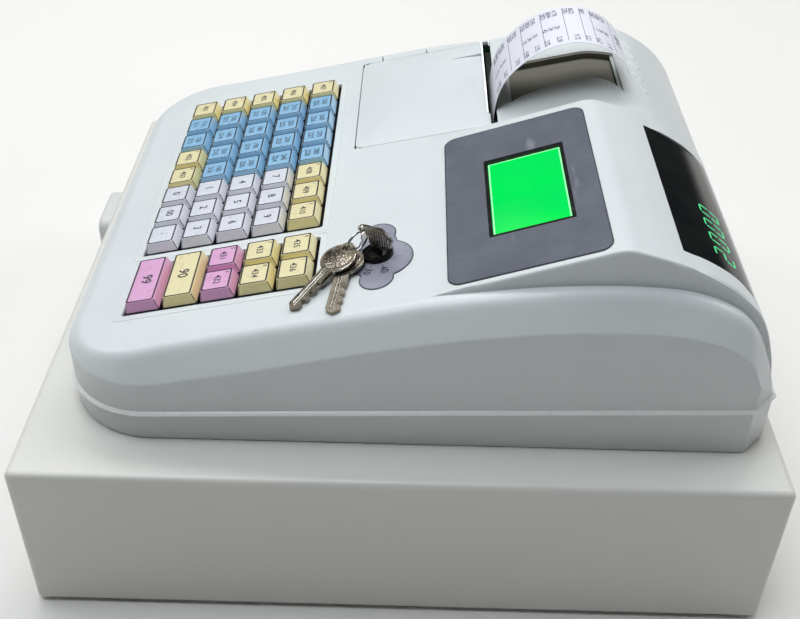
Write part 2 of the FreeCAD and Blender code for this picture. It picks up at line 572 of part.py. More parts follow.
KU0 = -D["key_base_u"] / 2 + D["key_last_u"] - 7 * D["key_pitch_u"] - 1.5
KU1 = D["key_last_u"] + D["key_base_u"] / 2 + 1.5
KR = D["key_last_u"] + D["key_pitch_u"] + D["key_gap_u"]
KR0 = KR - D["key_base_u"] / 2 - 1.5
KR1 = KR + D["key_pitch_u"] + D["key_base_u"] / 2 + 1.5
KV0 = D["key_first_v"] - D["key_base_v"] / 2 - 1.5
KV1 = D["key_first_v"] + 4 * D["key_pitch_v"] + D["key_base_v"] / 2 + 1.5
SCR0 = (D["screen_front"] - D["pod_start"]) / COSP
SCR1 = (D["screen_back"] - D["pod_start"]) / COSP
CUST = (0.0, 134.0, 142.0, 184.0)
COVER_V0, COVER_V1 = -34.9, 53.3
case_cuts = [
    box("keypad_hole", (KU0, KV0, -12), (KU1 - KU0, KV1 - KV0, 20), DECKPL),
    box("block_hole", (KR0, KV0, -12), (KR1 - KR0, KV1 - KV0, 20), DECKPL),
    cyl("lock_hole", (D["lock_u"], D["lock_v"], -12), D["lock_radius"] + 0.05, 20, "z", DECKPL),
    box("screen_hole", (D["screen_left"], SCR0, -8), (D["screen_right"] - D["screen_left"], SCR1 - SCR0, 14), PODPL),
    box("customer_hole", (CUST[0], CUST[2], 150), (CUST[1] - CUST[0], CUST[3] - CUST[2], 90)),
    box("cover_hole", (D["cover_left"] - 0.3, COVER_V0 - 0.3, -8),
        (D["cover_right"] - D["cover_left"] + 0.6, COVER_V1 - COVER_V0 + 5.7, 16), DECKPL),
    cyl("cover_pin_hole", (D["cover_left"] - 2.2, COVER_V0 + 1.25, -1.25), 0.88,
        D["cover_right"] - D["cover_left"] + 4.4, "x", DECKPL),
]
nodes["upper_case"] = cut("upper_case", cut("upper_shell", upper_outer, [upper_inner]), case_cuts)

# ---------------------------------------------------------------- paper cover
cov_plate = box("cover_plate", (D["cover_left"], COVER_V0 + 1.25, -2.5),
                ("dims.cover_right - dims.cover_left", COVER_V1 - COVER_V0 - 1.25 - 2.0, "dims.cover_thick"), DECKPL)
cov_edge = cyl("cover_edge", (D["cover_left"], COVER_V0 + 1.25, -1.25), 1.25, "dims.cover_right - dims.cover_left",
               "x", DECKPL)
cov_pins = cyl("cover_pins", (D["cover_left"] - 2.0, COVER_V0 + 1.25, -1.25), 0.8,
               "dims.cover_right - dims.cover_left + 4", "x", DECKPL)
cov_side = box("cover_back_right", (-35.8, COVER_V1 - 2.0, -2.5), (15.4, 2.0, 2.5), DECKPL)
cov_ribs = [box("cover_rib_%d" % i, (x, COVER_V0 + 8, -5.0), (2, 74, 2.6), DECKPL) for i, x in enumerate((-128, -34))]
grip = box("cover_grip", (-137, 34, -1.2), (8, 14, 3), DECKPL)
nodes["paper_cover"] = cut("paper_cover", fuse("cover_whole", [cov_plate, cov_edge, cov_pins, cov_side] + cov_ribs), [grip])

# Steel tear bar with fine teeth along the cover's back edge.
teeth = []
x = D["cover_left"]
end = -36.0
pts = [(x, COVER_V1 - 2.0, -2.5)]
n = 34
for i in range(n):
    a = x + (end - x) * i / n
    b = x + (end - x) * (i + 0.5) / n
    pts += [(a, COVER_V1 - 2.0, 0.4), (b, COVER_V1 - 2.0, 1.8)]
pts += [(end, COVER_V1 - 2.0, 0.4), (end, COVER_V1 - 2.0, -2.5)]
bar = polygon(pts, 1.0, (0, 1, 0))
nodes["tear_bar"] = shape("tear_bar", bar, DECKPL)

# ---------------------------------------------------------------- printer
# Two side plates with stub pins for the roll, a floor, and an outer plate for the motor.
PX0 = D["paper_mid"] - D["paper_wide"] / 2 - 2.0
PX1 = D["paper_mid"] + D["paper_wide"] / 2 + 2.0
ry, rz, py, pz = D["roll_y"], D["roll_z"], D["platen_y"], D["platen_z"]
gm = D["gear_module"]
centre = gm * (24 + 12) / 2 + 0.15
my, mz = py - centre * 0.5, pz - centre * math.sqrt(0.75)


def side_plate(name, x0, thick, tall):
    lo = D["foot_high"] + D["base_high"] + wall
    return shape(name, polygon([(x0, -22, lo), (x0, 68, lo), (x0, 68, 178), (x0, 58, tall), (x0, 40, tall),
                                (x0, 30, 172), (x0, -22, 172)], thick, (1, 0, 0)))


plates = [side_plate("plate_left", PX0 - 2.5, 2.5, 192), side_plate("plate_right", PX1, 2.5, 192)]
outer_plate = shape("plate_motor", polygon([(-22, 20, 107.3), (-22, 68, 107.3), (-22, 68, 178), (-22, 58, 190),
                                            (-22, 40, 190), (-22, 20, 176)], 2.0, (1, 0, 0)))
floor_p = box("printer_floor", (PX0 - 2.5, -22, 107.3), (abs(PX0) - 17.5 - 0.0, 90, 2.5))
tie = box("printer_tie", (PX1, 60, 112), (-20 - PX1, 6, 40))
stubs = [cyl("stub_left", (PX0, ry, rz), "dims.roll_core - 0.1", 9, "x"),
         cyl("stub_right", (PX1 - 9, ry, rz), "dims.roll_core - 0.1", 9, "x")]
chassis_whole = fuse("chassis_whole", plates + [outer_plate, floor_p, tie] + stubs)
nodes["printer_chassis"] = cut("printer_chassis", chassis_whole,
                               [cyl("shaft_way", (PX0 - 5, py, pz), 2.55, PX1 - PX0 + 10, "x"),
                                cyl("motor_way", (-24, my, mz), 3.0, 6, "x")])
nodes["paper_roll"] = cut("paper_roll", cyl("roll_body", (PX0 + 2.0, ry, rz), "dims.roll_radius", "dims.paper_wide", "x"),
                          [cyl("roll_hole", (PX0 + 1, ry, rz), "dims.roll_core", "dims.paper_wide + 3", "x")])


def gear(name, y, z, teeth_n, x0, wide, bore, turn):
    """A spur gear on an X axis with straight-sided teeth and easy backlash."""
    rp = gm * teeth_n / 2
    ra, rf = rp + 0.85 * gm, rp - 1.15 * gm
    pts = []
    for i in range(teeth_n):
        mid = turn + 2 * math.pi * i / teeth_n
        for r, half in ((rf, 0.36), (rp, 0.205), (ra, 0.10)):
            pts.append((r, mid - half * 2 * math.pi / teeth_n))
        for r, half in ((ra, 0.10), (rp, 0.205), (rf, 0.36)):
            pts.append((r, mid + half * 2 * math.pi / teeth_n))
    outline = [(x0, y + r * math.cos(a), z + r * math.sin(a)) for r, a in pts]
    solid = polygon(outline, wide, (1, 0, 0))
    if bore:
        solid = solid.cut(Part.makeCylinder(bore, wide + 2, Vector(x0 - 1, y, z), Vector(1, 0, 0)))
    return shape(name, solid)


line = math.atan2(mz - pz, my - py)
big_gear = gear("platen_gear", py, pz, 24, -30.5, 5.0, 0, line)
small_gear = gear("pinion_teeth", my, mz, 12, -30.5, 5.0, 0, line + math.pi + math.pi / 12)
nodes["platen_roller"] = fuse("platen_roller", [
    cyl("platen_rubber", (PX0 + 0.8, py, pz), "dims.platen_radius", PX1 - PX0 - 1.6, "x"),
    cyl("platen_shaft", (PX0 - 4, py, pz), 2.5, abs(PX0 - 4) - 24.5, "x"), big_gear])
nodes["motor_pinion"] = fuse("motor_pinion", [small_gear, cyl("pinion_shaft", (-30.5, my, mz), 1.5, 12.5, "x")])
nodes["printer_motor"] = cut("printer_motor", cyl("motor_can", (-20, my, mz), 12.0, 26, "x"),
                             [cyl("motor_bore", (-21, my, mz), 1.6, 6, "x")])
nodes["print_head"] = fuse("print_head", [box("head_block", (PX0, 55.0, 174), (PX1 - PX0, 3, 17)),
                                          box("head_sink", (PX0, 58.0, 174), (PX1 - PX0, 5, 12))])

# Ticket paper: off the roll, round the platen, up past the tear bar, and over in a
# free arch to the block behind the slot.
pr = D["platen_radius"] + 0.3
pt = 0.2
ARCH = [(54.5, 190.0), (54.7, 200.0), (55.6, 209.0), (60.0, 222.5), (69.5, 234.2), (82.0, 243.8), (93.5, 248.6),
        (105.5, 250.2), (117.0, 248.0), (128.0, 241.8), (134.5, 235.4), (137.6, 229.0)]


def thin_band(points, thick):
    inner_pts = inset_line(points, thick)
    a = Part.BSplineCurve()
    a.interpolate([Vector(0, y, z) for y, z in points])
    b = Part.BSplineCurve()
    b.interpolate([Vector(0, y, z) for y, z in inner_pts])
    ea, eb = a.toShape(), b.toShape()
    w = Part.Wire([ea, Part.makeLine(Vector(0, *points[-1]), Vector(0, *inner_pts[-1])), eb,
                   Part.makeLine(Vector(0, *inner_pts[0]), Vector(0, *points[0]))])
    return Part.Face(w)


feed = []
for a in range(-170, 1, 10):
    r_ = math.radians(a)
    if a >= -90:
        feed.append((py + (pr + pt) * math.cos(r_), pz + (pr + pt) * math.sin(r_)))
tang = math.radians(77)
start_pt = (ry + (D["roll_radius"] + 0.3) * math.cos(tang), rz + (D["roll_radius"] + 0.5) * math.sin(tang))
run = [start_pt, (start_pt[0] * 0.66 + feed[0][0] * 0.34, start_pt[1] * 0.66 + feed[0][1] * 0.34),
       (start_pt[0] * 0.3 + feed[0][0] * 0.7, start_pt[1] * 0.3 + feed[0][1] * 0.7)] + feed
run = run + [p for p in ARCH if p[1] > pz + 5]
band = thin_band(run, -pt).extrude(Vector(D["paper_wide"], 0, 0))
band.translate(Vector(D["paper_mid"] - D["paper_wide"] / 2, 0, 0))
nodes["receipt_paper"] = shape("receipt_paper", band)

# ---------------------------------------------------------------- displays
lab_v0 = (D["label_front"] - D["pod_start"]) / COSP
lab_v1 = (D["label_back"] - D["pod_start"]) / COSP
label_blank = soften("label_round", box("label_blank", (D["label_left"], lab_v0, 0),
                                        ("dims.label_right - dims.label_left", lab_v1 - lab_v0, 0.6)),
                     lambda e: along(e, "z"), 6.0)
label_hole = box("label_hole", (D["screen_left"], SCR0, -1), ("dims.screen_right - dims.screen_left", SCR1 - SCR0, 3))
label_flat = cut("label_flat", label_blank, [label_hole])
doc.recompute()
nodes["display_label"] = shape("display_label", label_flat.Shape.copy(), PODPL)
nodes["lcd_bezel"] = cut("lcd_bezel", box("bezel_blank", (D["screen_left"], SCR0, -2.6), (D["screen_right"] - D["screen_left"], SCR1 - SCR0, 3.0), PODPL),
          [box("bezel_hole", (D["screen_left"] + 3, SCR0 + 2.2, -4), (D["screen_right"] - D["screen_left"] - 5.2, SCR1 - SCR0 - 4.4, 6), PODPL)])
nodes["lcd_panel"] = fuse("lcd_panel", [
    box("lcd_glass", (D["screen_left"] + 3, SCR0 + 2.2, -2.6), (D["screen_right"] - D["screen_left"] - 5.2, SCR1 - SCR0 - 4.4, 1.6), PODPL),
    box("lcd_frame", (D["screen_left"] - 4, SCR0 - 4, -6.6), (D["screen_right"] - D["screen_left"] + 8, SCR1 - SCR0 + 8, 4.0), PODPL)])

# Customer window: a piece of the pod's own curved skin, and the digit module under it.
win = shell_shape.common(Part.makeBox(CUST[1] - CUST[0] - 0.4, CUST[3] - CUST[2] - 0.4, 90,
                                      Vector(CUST[0] + 0.2, CUST[2] + 0.2, 150)))
nodes["customer_window"] = shape("customer_window", win)
CUSTPL = Placement(Vector(0, 163, 199.6), Rotation(Vector(1, 0, 0), -35))
nodes["customer_digits"] = fuse("customer_digits", [box("digit_block", (58, -14, -6.5), (72, 24, 6), CUSTPL),
                                                    box("digit_board", (50, -17, -8.1), (84, 30, 1.6), CUSTPL)])

# ---------------------------------------------------------------- keypad
# Black carrier plate under the deck, with one square guide hole for each key.
BED_TOP = -7.0
bed = box("bed_plate", (KU0 - 6, KV0 - 5, BED_TOP - 2.0), (KR1 - KU0 + 12, KV1 - KV0 + 10, 2.0), DECKPL)
bed_rim = cut("bed_rim", box("bed_rim_out", (KU0 - 6, KV0 - 5, BED_TOP), (KR1 - KU0 + 12, KV1 - KV0 + 10, -wall - BED_TOP), DECKPL),
              [box("bed_rim_in", (KU0 - 2, KV0 - 2, BED_TOP - 1), (KR1 - KU0 + 4, KV1 - KV0 + 4, 8), DECKPL)])
KEYS = []
for r in range(5):
    v = D["key_first_v"] + r * D["key_pitch_v"]
    for c in range(8):
        KEYS.append((r, c, D["key_last_u"] - (7 - c) * D["key_pitch_u"], v, 1))
    if r < 2:
        KEYS.append((r, 8, KR + D["key_pitch_u"] / 2, v, 2))
    else:
        KEYS.append((r, 8, KR, v, 1))
        KEYS.append((r, 9, KR + D["key_pitch_u"], v, 1))
guides = []
for r, c, u, v, w in KEYS:
    for j, du in enumerate((0,) if w == 1 else (-11.45, 11.45)):
        guides.append(box("guide_%d_%d_%d" % (r, c, j), (u + du - 2.15, v - 2.15, BED_TOP - 4), (4.3, 4.3, 8), DECKPL))
nodes["key_bed"] = cut("key_bed", fuse("bed_whole", [bed, bed_rim]), guides)

UPRIGHT = Rotation(Vector(1, 0, 0), 90)


def taper(name, u, v, w0, w1, bu, bv, tu, tv):
    """A truncated pyramid standing on the deck frame. The wedge's own Y is its height."""
    obj = doc.addObject("Part::Wedge", name)
    obj.Xmin, obj.Ymin, obj.Zmin = -number(bu) / 2, 0, -number(bv) / 2
    obj.Xmax, obj.Ymax, obj.Zmax = number(bu) / 2, w1 - w0, number(bv) / 2
    obj.X2min, obj.X2max = -number(tu) / 2, number(tu) / 2
    obj.Z2min, obj.Z2max = -number(tv) / 2, number(tv) / 2
    obj.setExpression("Xmin", "-(%s) / 2" % q(bu))
    obj.setExpression("Xmax", "(%s) / 2" % q(bu))
    obj.setExpression("Zmin", "-(%s) / 2" % q(bv))
    obj.setExpression("Zmax", "(%s) / 2" % q(bv))
    obj.setExpression("X2min", "-(%s) / 2" % q(tu))
    obj.setExpression("X2max", "(%s) / 2" % q(tu))
    obj.setExpression("Z2min", "-(%s) / 2" % q(tv))
    obj.setExpression("Z2max", "(%s) / 2" % q(tv))
    obj.Placement = DECKPL.multiply(Placement(Vector(u, v, w0), UPRIGHT))
    return obj


def key(name, u, v, wide):
    """One key cap, hollow under its top, with a square stem for each unit of width."""
    extra = "" if wide == 1 else " + dims.key_pitch_u"
    cap = taper(name + "_cap", u, v, -D["key_sink"], D["key_rise"], "dims.key_base_u" + extra, "dims.key_base_v",
                "dims.key_top_u" + extra, "dims.key_top_v")
    space = taper(name + "_space", u, v, -D["key_sink"] - 0.5, D["key_rise"] - 1.8, "dims.key_base_u - 2.6" + extra,
                  "dims.key_base_v - 2.6", "dims.key_top_u - 2.4" + extra, "dims.key_top_v - 2.4")
    hollow = cut(name + "_shell", cap, [space])
    stems = [box(name + "_stem_%d" % j, (u + du - 2.0, v - 2.0, -12.5), ("dims.key_stem", "dims.key_stem", 12.5 + D["key_rise"] - 1.0), DECKPL)
             for j, du in enumerate((0,) if wide == 1 else (-11.45, 11.45))]
    return fuse(name, [hollow] + stems)


# Rows count from the front, columns from the operator's left.
NAMES = {(0, 5): "key_0", (0, 6): "key_00", (0, 7): "key_point", (1, 5): "key_1", (1, 6): "key_2", (1, 7): "key_3",
         (2, 5): "key_4", (2, 6): "key_5", (2, 7): "key_6", (3, 5): "key_7", (3, 6): "key_8", (3, 7): "key_9",
         (0, 8): "key_wide_front", (1, 8): "key_wide_rear", (2, 8): "key_side_a", (2, 9): "key_side_b",
         (3, 8): "key_side_c", (3, 9): "key_side_d", (4, 8): "key_side_e", (4, 9): "key_side_f"}
BLUE = {(0, 1), (0, 2)} | {(r, c) for r in (1, 2, 3, 4) for c in (1, 2, 3, 4)}
blue, yellow = [], []
for r, c, u, v, w in KEYS:
    if (r, c) in NAMES:
        nodes[NAMES[(r, c)]] = key(NAMES[(r, c)], u, v, w)
    else:
        k = key("cap_%d_%d" % (r, c), u, v, w)
        (blue if (r, c) in BLUE else yellow).append(k)
nodes["blue_keys"] = together("blue_keys", blue)
nodes["yellow_keys"] = together("yellow_keys", yellow)

# ---------------------------------------------------------------- mode lock and keys
LU, LV = D["lock_u"], D["lock_v"]
LOBES = [(104.6, -15.0, 15.0), (84.2, -15.5, 10.2), (94.0, -15.5, 11.0), (108.8, -12.6, 17.4), (126.4, -15.2, 9.6),
         (106.5, -22.0, 12.6)]
petals = [cyl("petal_%d" % i, (a, b, 0), r, 0.5, "z", DECKPL) for i, (a, b, r) in enumerate(LOBES)]
nodes["lock_plate"] = cut("lock_plate", fuse("petals", petals),
                          [cyl("plate_hole", (LU, LV, -1), "dims.lock_radius + 0.05", 3, "z", DECKPL)])
barrel = fuse("barrel_whole", [cyl("barrel_tube", (LU, LV, -20), "dims.lock_radius", 22.5, "z", DECKPL),
                               cyl("barrel_nut", (LU, LV, -7.0), 12.0, 4.4, "z", DECKPL)])
nodes["lock_barrel"] = cut("lock_barrel", barrel, [cyl("barrel_bore", (LU, LV, -21), "dims.plug_radius + 0.05", 26, "z", DECKPL)])

# The turning plug with the operator's key in it. The key is a flat plate, turned 45
# degrees from the case's width, with a wide bow and a lug for the ring at its front end.
TURNED = Placement(Vector(LU, LV, 0), Rotation(Vector(0, 0, 1), 45))
BOW = [(-6.1, 17.8), (9.4, 20.2), (16.0, 14.9), (12.7, 10.0), (3.6, 6.8), (-3.2, 5.3), (-4.6, 11.2), (-6.0, 13.7)]
LUG = (-7.9, 14.17)
KEYPL = DECKPL.multiply(TURNED)
bow = shape("bow_plate", polygon([(a, -D["key_thick"] / 2, b) for a, b in BOW], D["key_thick"], (0, 1, 0)), KEYPL)
lug = cyl("bow_lug", (LUG[0], -D["key_thick"] / 2, LUG[1]), 3.3, "dims.key_thick", "y", KEYPL)
blade = box("key_blade", (-3.6, -D["key_thick"] / 2, 1.0), (7.2, "dims.key_thick", 7.2), KEYPL)
plug = cyl("plug_body", (LU, LV, -19), "dims.plug_radius", 20.5, "z", DECKPL)
cam = box("plug_cam", (LU - 3, LV - 3, -22.5), (14, 6, 2.5), DECKPL)
tail_rod = cyl("plug_tail", (LU, LV, -20.5), 3.0, 2.0, "z", DECKPL)
lug_hole = cyl("lug_hole", (LUG[0], -3, LUG[1]), 2.2, 6, "y", KEYPL)
nodes["mode_key"] = cut("mode_key", fuse("mode_key_whole", [bow, lug, blade, plug, cam, tail_rod]), [lug_hole])

# Split ring through the lug, leaning down to the deck. Two spare keys hang on it, and
# their tips rest on the deck.
RING_MID = Vector(101.38, -25.09, 8.67)
RING_AXIS = Vector(0.666, 0.654, -0.358)
ring = doc.addObject("Part::Torus", "key_ring_wire")
ring.setExpression("Radius1", "dims.ring_radius")
ring.setExpression("Radius2", "dims.ring_wire")
ring.Placement = DECKPL.multiply(Placement(RING_MID, Rotation(Vector(0, 0, 1), RING_AXIS)))
nodes["key_ring"] = together("key_ring", [ring])


def spare(name, tail, tip, wide, notches):
    """A flat key with a round bow, from the hole's centre at tail to the blade's tip."""
    d = tip - tail
    length = d.Length
    t = D["key_thick"]
    head = Part.makeCylinder(10.0, t, Vector(7.5, 0, -t / 2)).fuse(Part.makeCylinder(4.6, t, Vector(0, 0, -t / 2)))
    low = -t / 2
    pts = [(14, -wide / 2, low), (length - 3, -wide / 2, low), (length, -wide / 2 + 3, low),
           (length, wide / 2 - 3, low)]
    x = length - 2.0
    pts.append((x, wide / 2, low))
    for i in range(notches):
        pts += [(x - 3.0, wide / 2, low), (x - 4.2, wide / 2 - 2.0, low), (x - 5.2, wide / 2 - 2.0, low),
                (x - 6.4, wide / 2, low)]
        x -= 6.4
    pts.append((14, wide / 2, low))
    body = head.fuse(polygon(pts, t, (0, 0, 1))).removeSplitter()
    body = body.cut(Part.makeCylinder(2.4, t + 2, Vector(0, 0, -t / 2 - 1)))
    ex = Vector(d.x, d.y, d.z).normalize()
    ey = Vector(0, 0, 1).cross(ex).normalize()
    ez = ex.cross(ey)
    return shape(name, body, DECKPL.multiply(Placement(tail, Rotation(ex, ey, ez, "XYZ"))))


nodes["spare_key_a"] = spare("spare_key_a", Vector(106.8, -30.6, 8.67), Vector(143.6, -60.2, 1.35), 7.4, 3)
nodes["spare_key_b"] = spare("spare_key_b", Vector(104.7, -30.7, 4.55), Vector(152.4, -37.6, 1.3), 8.0, 3)

# ---------------------------------------------------------------- electronics
board = box("board_sheet", (-110, -160, ztop + 14.5), (180, 110, 1.6))
chips = [box("chip_%d" % i, (x, y, ztop + 16.1), (a, b, hh)) for i, (x, y, a, b, hh) in enumerate(
    [(-70, -120, 28, 28, 3.0), (-20, -130, 36, 14, 4.0), (30, -110, 22, 22, 9.0), (-90, -80, 14, 40, 8.0), (10, -80, 40, 10, 7.0)])]
nodes["main_board"] = fuse("main_board", [board] + chips)
nodes["power_inlet"] = cut("power_inlet", fuse("inlet_whole", [cyl("inlet_barrel", (120, 184, 116), 5.9, 17.5, "y"),
                                                              cyl("inlet_flange", (120, 200, 116), 8.0, 1.6, "y")]),
                           [cyl("inlet_bore", (120, 190, 116), 2.75, 14, "y")])

# ---------------------------------------------------------------- checks and export
for name, obj in nodes.items():
    obj.Placement = Placement(Vector(0, D["front_shift"], 0), Rotation()).multiply(obj.Placement)
    if obj.Placement.Rotation.Angle < 1e-9 and abs(obj.Placement.Base.y - D["front_shift"]) < 1e-9:
        obj.setExpression(".Placement.Base.y", "dims.front_shift")
doc.recompute()
bad = [o.Name for o in doc.Objects if "Invalid" in o.State or "Error" in o.State]
if bad:
    raise RuntimeError("failed objects: " + ", ".join(bad))
os.makedirs("parts", exist_ok=True)
if len(nodes) > 60:
    raise RuntimeError("too many nodes")
for name, obj in nodes.items():
    obj.Label = name
    s = obj.Shape
    if s.isNull() or not s.isValid() or not s.Solids:
        raise RuntimeError("bad shape: " + name)
    Part.makeCompound(s.Solids).exportStep("parts/%s.step" % name) if len(s.Solids) > 1 else s.Solids[0].exportStep("parts/%s.step" % name)
    bb = s.BoundBox
    print("%-18s solids %2d vol %9.0f  x %.1f..%.1f y %.1f..%.1f z %.1f..%.1f" % (
        name, len(s.Solids), s.Volume, bb.XMin, bb.XMax, bb.YMin, bb.YMax, bb.ZMin, bb.ZMax))
print(len(nodes), "nodes")
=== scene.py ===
import json
import math
import bmesh
import bpy
import numpy as np
from mathutils import Matrix, Vector


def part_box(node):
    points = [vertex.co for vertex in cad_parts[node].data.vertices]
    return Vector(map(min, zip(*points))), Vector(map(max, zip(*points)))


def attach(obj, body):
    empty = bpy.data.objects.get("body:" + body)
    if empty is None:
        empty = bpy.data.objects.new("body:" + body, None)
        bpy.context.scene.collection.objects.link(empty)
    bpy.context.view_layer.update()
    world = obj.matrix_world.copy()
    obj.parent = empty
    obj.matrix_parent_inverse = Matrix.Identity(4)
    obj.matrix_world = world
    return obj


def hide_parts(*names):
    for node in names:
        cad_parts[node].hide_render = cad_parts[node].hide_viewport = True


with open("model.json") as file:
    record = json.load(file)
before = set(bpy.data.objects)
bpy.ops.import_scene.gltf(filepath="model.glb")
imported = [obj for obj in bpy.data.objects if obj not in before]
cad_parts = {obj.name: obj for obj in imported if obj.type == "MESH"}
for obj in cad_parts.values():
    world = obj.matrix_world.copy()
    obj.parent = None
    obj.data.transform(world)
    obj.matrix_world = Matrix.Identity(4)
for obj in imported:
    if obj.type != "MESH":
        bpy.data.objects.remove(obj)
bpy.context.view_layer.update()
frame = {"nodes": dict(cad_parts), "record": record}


NODES = frame["nodes"]
COL = bpy.context.scene.collection

# Lengths below are in millimetres in the layout of the parts; place() turns them into
# metres and adds the small shift that puts the origin under the middle of the outline.
SHIFT = 6.5
RISE = 0.2267
DECK0 = 189.9
TH = math.atan(RISE)
CT, ST = math.cos(TH), math.sin(TH)
PRISE = 0.33
PH = math.atan(PRISE)
CP, SP = math.cos(PH), math.sin(PH)


def place(p):
    p = np.asarray(p, float)
    return (p + np.array([0.0, SHIFT, 0.0])) / 1000.0


def deck(u, v, w=0.0):
    """A point of the sloping deck's own frame, as layout millimetres."""
    u, v, w = np.broadcast_arrays(np.asarray(u, float), np.asarray(v, float), np.asarray(w, float))
    return np.stack([u, v * CT - w * ST, DECK0 + v * ST + w * CT], -1)


def pod(u, v, w=0.0):
    """A point of the display pod's own frame, as layout millimetres."""
    u, v, w = np.broadcast_arrays(np.asarray(u, float), np.asarray(v, float), np.asarray(w, float))
    return np.stack([u, 20.0 + v * CP - w * SP, 195.0 + v * SP + w * CP], -1)


# ------------------------------------------------------------------ camera, light, floor
def set_camera():
    az, el, roll = math.radians(-0.482), math.radians(37.709), math.radians(1.128)
    v = Vector((-math.cos(el) * math.cos(az), math.cos(el) * math.sin(az), -math.sin(el)))
    right0 = v.cross(Vector((0, 0, 1))).normalized()
    up0 = right0.cross(v)
    right = right0 * math.cos(roll) + up0 * math.sin(roll)
    up = up0 * math.cos(roll) - right0 * math.sin(roll)
    cam = bpy.data.cameras.new("camera")
    cam.lens = 49.24
    cam.sensor_width = 36.0
    cam.sensor_fit = "HORIZONTAL"
    cam.clip_start = 0.01
    cam.clip_end = 20.0
    ob = bpy.data.objects.new("camera", cam)
    m = Matrix.Identity(4)
    for i, axis in enumerate((right, up, -v)):
        for j in range(3):
            m[j][i] = axis[j]
    m.translation = Vector((0.59653, 0.00848, 0.52986))
    ob.matrix_world = m
    COL.objects.link(ob)
    bpy.context.scene.camera = ob


def area_light(name, at, aim, size, power, color=(1, 1, 1)):
    data = bpy.data.lights.new(name, "AREA")
    data.shape = "RECTANGLE"
    data.size, data.size_y = size
    data.energy = power
    data.color = color
    ob = bpy.data.objects.new(name, data)
    ob.location = at
    d = Vector(aim) - Vector(at)
    ob.rotation_euler = d.to_track_quat("-Z", "Y").to_euler()
    COL.objects.link(ob)
    return ob


set_camera()
bpy.context.scene.view_settings.view_transform = "Standard"
world = bpy.data.worlds.new("studio")
world.use_nodes = True
bg = world.node_tree.nodes["Background"]
bg.inputs["Color"].default_value = (0.93, 0.97, 1.0, 1.0)
bg.inputs["Strength"].default_value = 0.06
bpy.context.scene.world = world
area_light("soft_top", (0.27, -0.3, 1.75), (0.05, -0.1, 0.15), (0.8, 1.0), 14.5, (0.92, 0.965, 1.0))
area_light("soft_left", (-0.6, -1.6, 1.4), (-0.2, -0.6, 0.0), (0.9, 0.9), 8.0, (0.98, 0.99, 1.0))
area_light("soft_right", (-0.6, 1.7, 1.4), (-0.3, 0.8, 0.0), (0.9, 0.9), 9.0, (1.0, 1.0, 1.0))
area_light("soft_far", (-1.35, 0.0, 2.3), (-1.35, 0.0, 0.0), (1.3, 2.6), 44.0, (1.0, 1.0, 1.0))


# ------------------------------------------------------------------ materials
def rgba(c):
    return (c[0], c[1], c[2], 1.0)


